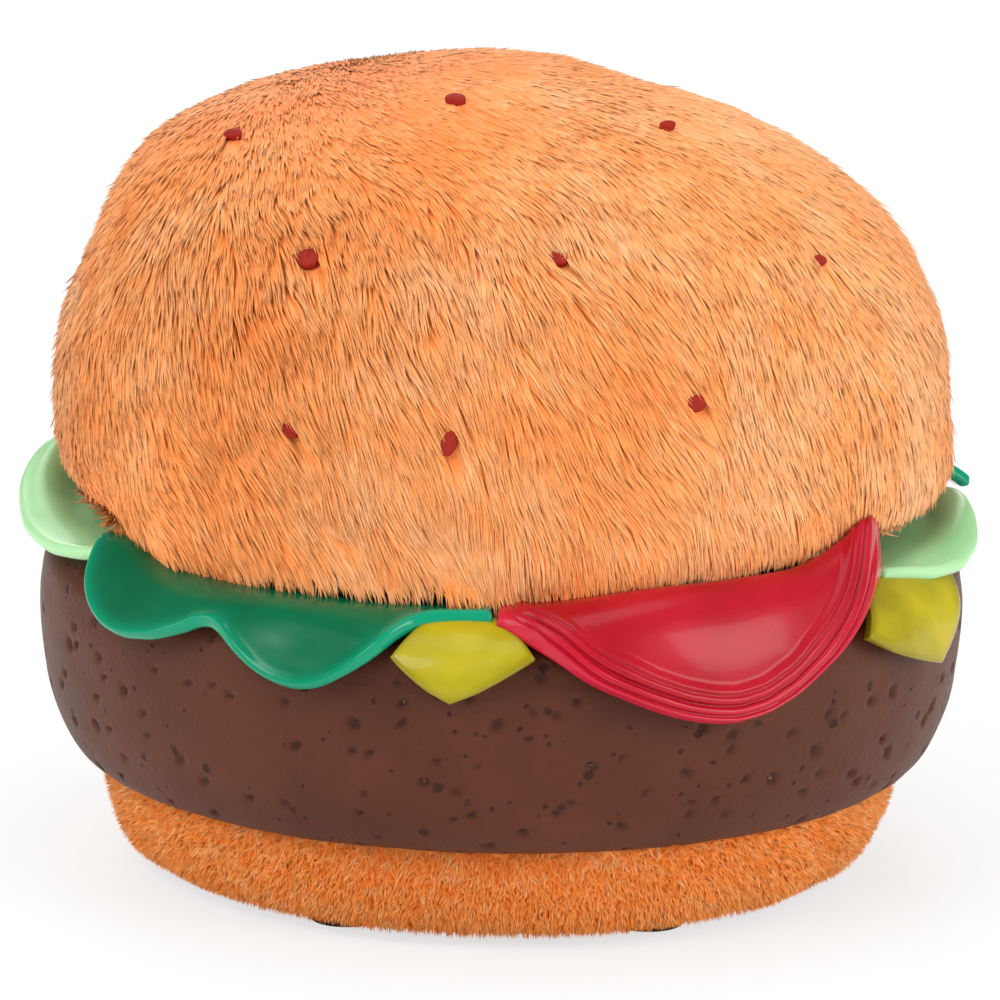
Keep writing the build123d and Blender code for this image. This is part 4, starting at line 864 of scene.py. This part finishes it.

# %% [markdown]
# ## The patty
# The patty is matte brown plastic, moulded with small hollows and nicks like minced meat. They are cut into a
# fine skin over the housing, so that they catch real shade, and the material also paints them darker, as
# painted shade. Hollows lie at jittered places of a grid, half of the places left out, and each has its own
# size, depth and slant. The skin stays open round the line jack and the hinge's ears.

# %% Skin of the patty
SEAM_R, SEAM_Z, PATTY_R, PATTY_Z = 54.5, 15.5, 62.0, 36.0
STRAIGHT_Z, SHOULDER_R = 40.3, 4.3
SKIN_T, SUNK, DEEPEST = 0.6, 0.4, 0.62
PATTY_ROWS, PATTY_COLUMNS, MEAN_R = 62, 760, 60
WINDOW_HALF, WINDOW_LOW, WINDOW_HIGH = 7.0, 21.6, 34.4
EARS_HALF, EARS_LOW = 22.0, 34.6


def patty_outline(count):
    """Side of the housing from the seam to the flange: quarter ellipse, straight and quarter circle."""
    low, high = np.radians(np.linspace(0, 90, 200)), np.radians(np.linspace(0, 88, 60))
    radius = np.concatenate([SEAM_R + (PATTY_R - SEAM_R) * np.sin(low),
                             PATTY_R - SHOULDER_R * (1 - np.cos(high))])
    height = np.concatenate([PATTY_Z - (PATTY_Z - SEAM_Z) * np.cos(low),
                             STRAIGHT_Z + SHOULDER_R * np.sin(high)])
    even, radius, height, along_r, along_z = even_steps(radius, height, count)
    return even, radius, height, along_z, -along_r


def hollows(arc, rise, cell, chance, radii, depth, seed):
    """Depth of the hollows at points given by arc length and height: a bowl with a steep upper side."""
    plane = np.stack([arc, rise], -1).reshape(-1, 2)
    centre, cells = nearest_centre(plane, cell, seed)
    size = radii[0] + (radii[1] - radii[0]) * hashed(cells, seed + 5)
    off = plane - centre
    slant = (hashed(cells, seed + 7) - 0.5) * 2.2
    x, y = off[:, 0] + slant * off[:, 1] * 0.6, off[:, 1] * (0.8 + 0.9 * hashed(cells, seed + 8))
    away = np.hypot(x, y + 0.25 * size) / size
    there = hashed(cells, seed + 6) < chance
    bowl = np.where(there, np.clip(1 - away ** 2, 0, 1) ** 1.3 * (0.6 + 0.4 * hashed(cells, seed + 9)), 0)
    return (depth * bowl).reshape(arc.shape)


even, side_r, side_z, out_r, out_z = patty_outline(PATTY_ROWS)
around = np.linspace(-180, 180, PATTY_COLUMNS, endpoint=False)
AZ, RISE = np.meshgrid(around, even)
ARC = np.radians(AZ) * MEAN_R
depth = np.minimum(hollows(ARC, RISE, 4.6, 0.5, (0.65, 1.2), 0.8, 71), DEEPEST)
round_points = np.stack([np.sin(np.radians(AZ)) * MEAN_R, np.cos(np.radians(AZ)) * MEAN_R, RISE], -1)
swell = 0.05 * ripple(round_points, 9, 91)
calm = ease(41.5, 37.0, side_z)[:, None]
lift = (SKIN_T + swell) * (0.22 + 0.78 * calm) - depth * (0.15 + 0.85 * calm)
outer = on_azimuth(side_r[:, None] + out_r[:, None] * lift, AZ, side_z[:, None] + out_z[:, None] * lift)
inner = on_azimuth((side_r - SUNK * out_r)[:, None] + 0 * AZ, AZ, (side_z - SUNK * out_z)[:, None] + 0 * AZ)
back_x = np.abs(on_azimuth(PATTY_R, AZ[:-1] + 0.25, 0.0)[..., 0])
behind = np.cos(np.radians(AZ[:-1])) < 0
middle_z = (side_z[:-1, None] + side_z[1:, None]) / 2
window = behind & (back_x < WINDOW_HALF) & (middle_z > WINDOW_LOW) & (middle_z < WINDOW_HIGH)
ears = behind & (back_x < EARS_HALF) & (middle_z > EARS_LOW)
patty_skin_faces = slab_faces(~(window | ears), wrap=True)

patty, tree, shader = start_material("matte_patty_abs", Specular_IOR_Level=0.2)
place = add(tree, "TexCoord").outputs["Object"]
hollow = add(tree, "Attribute", attribute_name="hollow").outputs["Fac"]
grain = noise(tree, 0.7, 3.0)
wander = add(tree, "TexNoise", {"Vector": place, "Scale": 1 / (1.1 * MM)}).outputs["Color"]
bent = add(tree, "VectorMath", {0: wander, 1: (0.9 * MM,) * 3, 2: place}, operation="MULTIPLY_ADD").outputs[0]
nick = 0.0
for cell_mm, share_left, low, high in ((2.2, 0.62, 0.08, 0.19), (4.3, 0.55, 0.10, 0.20)):
    spots = add(tree, "TexVoronoi", {"Vector": bent, "Scale": 1 / (cell_mm * MM)}).outputs
    chosen = add(tree, "Math", {0: spots["Color"], 1: share_left}, operation="GREATER_THAN").outputs[0]
    spot = ramp(tree, spots["Distance"], high, low)
    nick = add(tree, "Math", {0: spot, 1: chosen, 2: nick}, operation="MULTIPLY_ADD").outputs[0]
colour = blend(tree, ramp(tree, noise(tree, 16, 4.0), 0.3, 0.7), "#4E2515", "#5A2E1C")
# painted shade: the colour darkens with each hollow's depth and inside each nick, towards #33170E
dark = ramp(tree, hollow, 0.05, 0.5, high=0.75)
dark = add(tree, "Math", {0: dark, 1: nick}, operation="MAXIMUM", use_clamp=True).outputs[0]
colour = blend(tree, dark, colour, "#33170E")
dent = add(tree, "Math", {0: nick, 1: -2.5, 2: grain}, operation="MULTIPLY_ADD").outputs[0]
rough = ramp(tree, grain, low=0.42, high=0.56)
wire(tree, shader, Base_Color=colour, Roughness=rough, Normal=relief(tree, dent, 0.8, 0.12))
points = np.concatenate([outer.reshape(-1, 3), inner.reshape(-1, 3)])
make_piece("patty_skin", points, patty_skin_faces, patty, "base", "brown_plastic",
           values={"hollow": np.concatenate([depth.ravel(), np.zeros(depth.size)])})

# %% [markdown]
# ## The slices
# Lettuce, tomato and pale leaves are soft vinyl sheets. Each lies flat under the deck and droops over the
# patty's shoulder. They could be modelled by hand with a subdivided plane, but a formula keeps them tied to
# the patty. A slice is a slab on a grid: one direction goes round the patty, the other out from the deck to
# the hanging edge. Its length follows a short table of its edge, and its middle layer turns down on an arc,
# as it does on the solids. The rim gets the bead of the moulding, and the face its dishing.

# %% The drooping slab
BEND_R0, LEAF_MIDDLE_Z, LEAF_T = 58.0, 47.1, 1.8
HUG = 7.4  # radius in mm of the bend of a leaf that follows the patty's shoulder
STEEP = math.radians(84)
INNER_R = 45.0
# distances from the rim of the last rows of points, closer and closer
RIM_STEPS = np.append(np.arange(6.4, 0.9, -0.16), [0.82, 0.66, 0.52, 0.4, 0.3, 0.21, 0.13, 0.07, 0.02])


def smooth_table(at, table, width):
    """Value of a table of (place, value) rows, averaged over a window so that no corner shows."""
    places, values = np.array(table, float).T
    return sum(np.interp(at + off, places, values) for off in np.linspace(-width, width, 9)) / 9


def droop(run, bend_r, offset):
    """Radius and height of a point run mm beyond the bend's start and offset mm above the middle layer."""
    turn = np.clip(run / bend_r, 0, STEEP)
    tail = np.maximum(run - STEEP * bend_r, 0)
    flat = np.minimum(run, 0)
    radius = BEND_R0 + flat + bend_r * np.sin(turn) + tail * math.cos(STEEP) + offset * np.sin(turn)
    height = LEAF_MIDDLE_Z - bend_r * (1 - np.cos(turn)) - tail * math.sin(STEEP) + offset * np.cos(turn)
    return radius, height


def slice_slab(start, end, edge, flatness, bead, lift=None, dish=None, ridges=None, thick=LEAF_T, step=0.5):
    """Points, faces and rim values of one slice.

    edge lists azimuths and how far the sheet reaches there beyond the bend's start. bead is the rim bead's
    height, lift(azimuth, run, reach) raises the sheet, dish(azimuth, run) pushes its face in, and
    ridges(distance to the rim) adds rings along the edge. Near the rim the slab's half thickness shrinks as
    the root of 1 - (1 - d/half) squared, which rounds it.
    """
    azimuth = np.linspace(start, end, int((end - start) / step) + 1)[None, :]
    reach = smooth_table(azimuth, edge, 1.2)
    arc = azimuth[0] * math.radians(PATTY_R)
    slant = np.hypot(1, np.gradient(reach[0], arc))
    main = np.linspace(0, 1, 22)[:-1, None]
    run = np.concatenate([(INNER_R - BEND_R0) + (reach - RIM_STEPS[0] - INNER_R + BEND_R0) * main,
                          reach - RIM_STEPS[:, None]])
    azimuth = azimuth + 0 * run
    to_side = np.minimum(azimuth - start, end - azimuth) * math.radians(1) * MEAN_R
    to_rim = np.minimum((reach - run) / slant, to_side + 0.02)
    half = thick / 2
    left = np.clip(1 - to_rim / half, 0, 1)
    half = half * np.sqrt(1 - left ** 2) + 0.01
    front = half + bead * np.exp(-((to_rim - 0.9) / 0.75) ** 2) * ease(0, 0.5, to_rim)
    if ridges is not None:
        front = front + ridges(to_rim) * ease(0.5, 5, to_side)
    if dish is not None:
        front = front - dish(azimuth, run)
        half = half + dish(azimuth, run)
    bend_r = HUG / (1 - flatness)
    faces = []
    for offset in (front, -half):
        radius, height = droop(run, bend_r, offset)
        if lift is not None:
            height = height + lift(azimuth, run, reach)
        faces.append(on_azimuth(radius, azimuth, height).reshape(-1, 3))
    rim = np.exp(-(to_rim / 1.5) ** 2)
    keep = np.ones((run.shape[0] - 1, run.shape[1] - 1), bool)
    return np.concatenate(faces), slab_faces(keep), np.concatenate([rim.ravel(), rim.ravel()])


# %% [markdown]
# Vinyl of this kind is dipped or cast in one colour and comes out glossy and a little uneven like skin. Near
# its rim the colour goes to a rim shade: paler on the leaves and the tomato, a painted highlight along the
# bead, and darker on the cheese. The material reads how near the rim a point is from the slab.


# %% Vinyl
def vinyl(name, deep, shade, rim_shade, gloss, coat, peel_mm, depth_mm):
    """Glossy vinyl: two shades in slow patches, a glossier rim and a soft orange peel in the gloss.

    A paler rim_shade paints a highlight along the rim, and the cheese's darker one darkens its rim.
    """
    material, tree, shader = start_material(name, Coat_Weight=coat, Coat_Roughness=0.1,
                                            Specular_IOR_Level=0.2)
    near = add(tree, "Attribute", attribute_name="rim").outputs["Fac"]
    drift = noise(tree, 9, 3.0)
    colour = blend(tree, ramp(tree, drift, 0.35, 0.65), deep, shade)
    # painted highlight where rim_shade is paler than the body: the colour is blended towards it at the rim
    edge = add(tree, "Math", {0: near, 1: 0.7}, operation="MULTIPLY").outputs[0]
    colour = blend(tree, edge, colour, rim_shade)
    rough = ramp(tree, drift, low=gloss[0], high=gloss[1])
    sheer = ramp(tree, near, end=0.6, low=1.0, high=0.5)
    rough = add(tree, "Math", {0: rough, 1: sheer}, operation="MULTIPLY").outputs[0]
    bump = relief(tree, noise(tree, peel_mm), 0.4, depth_mm)
    wire(tree, shader, Base_Color=colour, Roughness=rough, Normal=bump)
    return material


# rim shades: paler as painted highlight on lettuce, tomato and pale leaves, darker on the cheese
lettuce_vinyl = vinyl("glossy_lettuce_vinyl", "#005C39", "#006843", "#12A07A", (0.2, 0.3), 0.1, 1.6, 0.03)
tomato_vinyl = vinyl("glossy_tomato_vinyl", "#9E0418", "#AE0820", "#CC2440", (0.3, 0.4), 0.14, 0.6, 0.05)
pale_vinyl = vinyl("satin_pale_leaf_vinyl", "#8CC688", "#98D094", "#AEDCA8", (0.38, 0.5), 0.1, 1.2, 0.03)
cheese_paint = vinyl("painted_cheese_vinyl", "#968A08", "#B4A410", "#7C7010", (0.34, 0.5), 0.2, 1.0, 0.05)


# %% Lettuce and tomato
LETTUCE_EDGE = [
    # azimuth, and how far the leaf reaches there beyond the bend's start
    (-63.0, 0.6), (-61.5, 2.4), (-60.0, 4.8), (-58.0, 7.4), (-55.0, 9.5), (-52.0, 10.7), (-48.2, 11.1),
    (-43.2, 10.4), (-39.0, 8.8), (-36.5, 7.2), (-34.4, 7.9), (-31.8, 10.2), (-28.8, 12.3), (-26.2, 13.4),
    (-23.0, 13.8), (-20.2, 12.9), (-17.2, 10.7), (-14.8, 8.5), (-12.8, 6.1), (-11.0, 3.4), (-8.0, 1.7),
    (-1.0, 1.2),
]
TOMATO_EDGE = [
    (-0.5, 2.0), (3.2, 5.8), (6.8, 8.7), (8.8, 10.6), (11.0, 12.1), (13.2, 13.3), (16.8, 15.2),
    (20.2, 16.7), (23.8, 17.7), (27.2, 18.1), (31.2, 17.4), (35.2, 15.6), (39.8, 12.6), (44.8, 9.4),
    (50.8, 5.2), (57.0, 1.6),
]
TOMATO_GROOVES = [(1.1, 0.8), (2.2, 0.75), (3.3, 0.45)]  # distance from the rim and depth, in mm


def lettuce_lift(azimuth, run, reach):
    """The leaf's left end curls up as it leaves the deck, and the edge waves a little."""
    curl = 2.8 * ease(-5, 1, run) * (1 - 0.8 * ease(1, 8, run)) * np.exp(-((azimuth + 59) / 6) ** 2)
    return curl + 0.35 * ease(0, 4, run) * np.sin(np.radians(azimuth * 9))


def lettuce_dish(azimuth, run):
    """Two shallow hollows in the face, one in each lobe."""
    big = 1.1 * np.exp(-((azimuth + 24) / 7) ** 2 - ((run - 8.0) / 3.0) ** 2)
    return big + 0.4 * np.exp(-((azimuth + 49) / 6) ** 2 - ((run - 6.5) / 2.6) ** 2)


def tomato_lift(azimuth, run, reach):
    """The slice rises towards its right end, first under the cloth and then at the bend."""
    under = 1.9 * ease(-6, -2.5, run) * ease(-4, 22, azimuth)
    bend = ease(-2.5, 2.0, run) * (1.4 * ease(-4, 30, azimuth) + 5.0 * ease(38, 57, azimuth))
    return (under + bend) * (1 - ease(0.35, 1.0, run / reach) * 0.85)


def tomato_dish(azimuth, run):
    """The face is hollowed a little, most right of its middle."""
    return 1.2 * np.exp(-((azimuth - 28) / 13) ** 2 - ((run - 7.5) / 4.5) ** 2)


def tomato_ridges(d):
    """Rings at a distance d from the rim: grooves the width of a pencil line on a raised border."""
    groove = sum(np.exp(-((d - at) / 0.19) ** 2) * deep for at, deep in TOMATO_GROOVES)
    return 0.75 * ease(4.6, 3.4, d) * ease(0.1, 0.8, d) - groove


points, faces, rim = slice_slab(-62.5, -1.0, LETTUCE_EDGE, 0.04, 0.4, lettuce_lift, lettuce_dish, step=0.35)
leaf = make_piece("lettuce_front_leaf", points, faces, lettuce_vinyl, "base", "green_vinyl",
                  values={"rim": rim})
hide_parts("lettuce_front")

points, faces, rim = slice_slab(-0.5, 57.0, TOMATO_EDGE, 0.03, 0.1, tomato_lift, tomato_dish, tomato_ridges,
                                thick=2.2, step=0.3)
tomato = make_piece("tomato_slice_skin", points, faces, tomato_vinyl, "base", "red_vinyl",
                    values={"rim": rim})
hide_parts("tomato_slice")


# %% Pale and dark leaves at the sides and the back
def climbing(low, high, rise):
    """Lift of a leaf whose outer part climbs towards the back, from azimuth low to high."""
    return lambda azimuth, run, reach: rise * ease(-1, 5, run) * ease(low, high, azimuth)


LEAVES = [
    # replaced node, first and last azimuth, edge, flatness, lift, material, slot
    ("pale_leaf_left", -130.5, -63.0,
     [(-130.5, 1.5), (-124, 4.2), (-115, 6.6), (-104, 7.9), (-92, 8.2), (-80, 7.6), (-71, 5.8), (-65, 3.4),
      (-63, 1.6)],
     0.32, climbing(-66, -106, 6.6), pale_vinyl, "pale_green_vinyl"),
    ("pale_leaf_right", 57.5, 106.0,
     [(57.5, 1.6), (60, 3.0), (65, 5.4), (72, 7.2), (79, 7.4), (86, 6.2), (93, 4.2), (100, 2.2), (106, 1.0)],
     0.32, climbing(64, 96, 4.0), pale_vinyl, "pale_green_vinyl"),
    ("lettuce_rear_right", 106.5, 152.0,
     [(106.5, 9.8), (110, 11.4), (116, 9.8), (124, 5.6), (130, 4.4), (140, 6.2), (148, 4.6), (152, 2.0)],
     0.45, climbing(142, 112, 4.2), lettuce_vinyl, "green_vinyl"),
    ("lettuce_rear_left", -152.0, -131.0,
     [(-152, 2.0), (-147, 5.4), (-141, 6.7), (-135, 5.2), (-131, 2.0)],
     0.45, None, lettuce_vinyl, "green_vinyl"),
]
for leaf_name, start, end, edge, flatness, lift, skin, slot_name in LEAVES:
    points, faces, rim = slice_slab(start, end, edge, flatness, 0.12, lift)
    leaf = make_piece(leaf_name + "_sheet", points, faces, skin, "base", slot_name, values={"rim": rim})
    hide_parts(leaf_name)

# %% [markdown]
# The cheese is one thin sheet under the leaves, and only its corners hang out. Each corner is a patch with
# rounded tips: its four corners are given by azimuth and by the path down the skirt, and the points between
# them are blended in two directions. A plain ring joins them under the leaves.

# %% Cheese
SKIRT_R0, SKIRT_Z0, SKIRT_BEND, CHEESE_T = 57.7, 40.0, 6.35, 1.6
FLANGE_Z = 44.6
CORNERS = [
    # upper, left, tip and right corner, each by azimuth and path down the skirt, then how square they are
    ((-4.5, -6.0), (-12.9, 6.8), (-5.6, 11.6), (4.4, 6.4), 12),
    ((60.0, -7.0), (46.6, 8.0), (61.6, 14.2), (74.0, 3.2), 9),
    ((133.0, -6.0), (125.0, 5.4), (133.0, 10.6), (141.0, 5.4), 8),
    ((-121.0, -6.0), (-129.0, 5.4), (-121.0, 10.6), (-113.0, 5.4), 8),
]


def skirt(azimuth, path, offset):
    """Point on the hanging skirt: flat before the bend, round it, then straight down, offset mm outside."""
    turn = np.clip(path / SKIRT_BEND, 0, math.pi / 2)
    tail = np.maximum(path - SKIRT_BEND * math.pi / 2, 0)
    flat = np.minimum(path, 0)
    bend = SKIRT_BEND + offset
    radius = SKIRT_R0 + flat + bend * np.sin(turn) + 0.06 * tail
    height = SKIRT_Z0 + bend * np.cos(turn) - tail - SKIRT_BEND + 5.4
    return on_azimuth(radius, azimuth, height)


def cheese_patch(upper, left, tip, right, square, count=40):
    """A slab between four corners, its own corners drawn in by the factor root of 1 - b squared / square."""
    side = np.sin(np.linspace(-math.pi / 2, math.pi / 2, count))
    a, b = np.meshgrid(side, side)
    p, q = a * np.sqrt(1 - b ** 2 / square), b * np.sqrt(1 - a ** 2 / square)
    p, q = (p + 1) / 2, (q + 1) / 2
    shares = ((1 - p) * (1 - q), p * (1 - q), p * q, (1 - p) * q)
    spot = sum(share[..., None] * np.array(c, float) for share, c in zip(shares, (upper, left, tip, right)))
    to_rim = (1 - np.maximum(np.abs(a), np.abs(b))) * 6
    left_share = np.clip(1 - to_rim / 0.5, 0, 1)
    half = CHEESE_T / 2 - 0.35 + 0.35 * np.sqrt(1 - left_share ** 2)
    middle = 0.95 + 0.06 * np.maximum(spot[..., 1] - 4, 0) + 0.08 * ripple(spot, 7, 101)
    faces = [skirt(spot[..., 0], spot[..., 1], middle + sign * half).reshape(-1, 3) for sign in (1, -1)]
    rim = np.exp(-(to_rim / 0.7) ** 2)
    return np.concatenate(faces), slab_faces(np.ones((count - 1, count - 1), bool)), np.tile(rim.ravel(), 2)


around, radius = np.meshgrid(np.linspace(-153, 153, 230), np.linspace(INNER_R, SKIRT_R0, 5))
ring = np.concatenate([on_azimuth(radius, around, FLANGE_Z + z).reshape(-1, 3) for z in (1.55, 0.1)])
patches = [cheese_patch(*corner) for corner in CORNERS]
points, faces = join([(ring, slab_faces(np.ones((4, 229), bool))), *(patch[:2] for patch in patches)])
rim = np.concatenate([np.zeros(len(ring)), *(patch[2] for patch in patches)])
cheese = make_piece("cheese_sheet", points, faces, cheese_paint, "base", "cheese_vinyl", values={"rim": rim})
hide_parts("cheese_slice")

# %% [markdown]
# ## Inside
# The keys have printed digits. They are drawn with Blender's own font, made a mesh, and set a few hundredths
# of a millimetre proud of each key, as a tampo print is. The two function keys carry a plain bar and dot.

# %% Digits on the keys
KEY_X, KEY_Y, KEY_MID_Y = 15.0, 12.5, 1.5
PRINT_MM, DIGIT_MM = 0.06, 6.6
ink = moulded("cream_tampo_ink", "#F6EEDC", "#F0E6CE", 4, 0.3, (0.45, 0.6), 0.005)
LEGENDS = [(digit, digit) for digit in "123456789"] + [("star", "*"), ("0", "0"), ("hash", "#")]
STAR_DROP = 1.1


def flat_print(name, mesh, x, y, z, body):
    """Puts a flat mesh at its place on a key, x and y in mm and z in m, and lets it ride on that key."""
    mesh.transform(Matrix.Translation((x * MM, y * MM, z)))
    mesh.materials.clear()
    mesh.materials.append(ink)
    piece = bpy.data.objects.new(name, mesh)
    scene.collection.objects.link(piece)
    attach(piece, body)


for index, (key_name, sign) in enumerate(LEGENDS):
    row, column = divmod(index, 3)
    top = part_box("key_" + key_name)[1].z
    words = bpy.data.curves.new("sign", "FONT")
    words.body, words.size, words.extrude = sign, DIGIT_MM * MM, PRINT_MM * MM
    words.align_x, words.align_y = "CENTER", "CENTER"
    words.resolution_u = 6
    drawn = bpy.data.objects.new("sign", words)
    scene.collection.objects.link(drawn)
    bpy.context.view_layer.update()
    mesh = bpy.data.meshes.new_from_object(drawn.evaluated_get(bpy.context.evaluated_depsgraph_get()))
    bpy.data.objects.remove(drawn)
    drop = STAR_DROP if sign == "*" else 0.0
    y = KEY_MID_Y + (1.5 - row) * KEY_Y - drop
    flat_print("sign_" + key_name, mesh, (column - 1) * KEY_X, y, top, "key_" + key_name)


def rounded_bar(length, width, thick, count=24):
    """A flat bar with round ends as a closed skin: two outlines of half circles, each with a middle point."""
    turn = np.linspace(0, 2 * math.pi, count, endpoint=False) + 0.01
    x = np.sign(np.cos(turn)) * (length - width) / 2 + np.cos(turn) * width / 2
    y = np.sin(turn) * width / 2
    rings = np.stack([np.stack([x, y, np.full(count, z)], -1) for z in (thick, -thick)])
    return np.concatenate([rings.reshape(-1, 3), [[0, 0, thick], [0, 0, -thick]]]), skin_faces(2, count)


MARK_W = 2.2
for key_name, x, length in (("redial", -10.0, 5.2), ("flash", 10.0, MARK_W)):
    low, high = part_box("key_" + key_name)
    points, faces = rounded_bar(length, MARK_W, PRINT_MM)
    points += np.array([x, (low.y + high.y) / 2 / MM, high.z / MM])
    make_piece("sign_" + key_name, points, faces, ink, "key_" + key_name, "key_plastic")
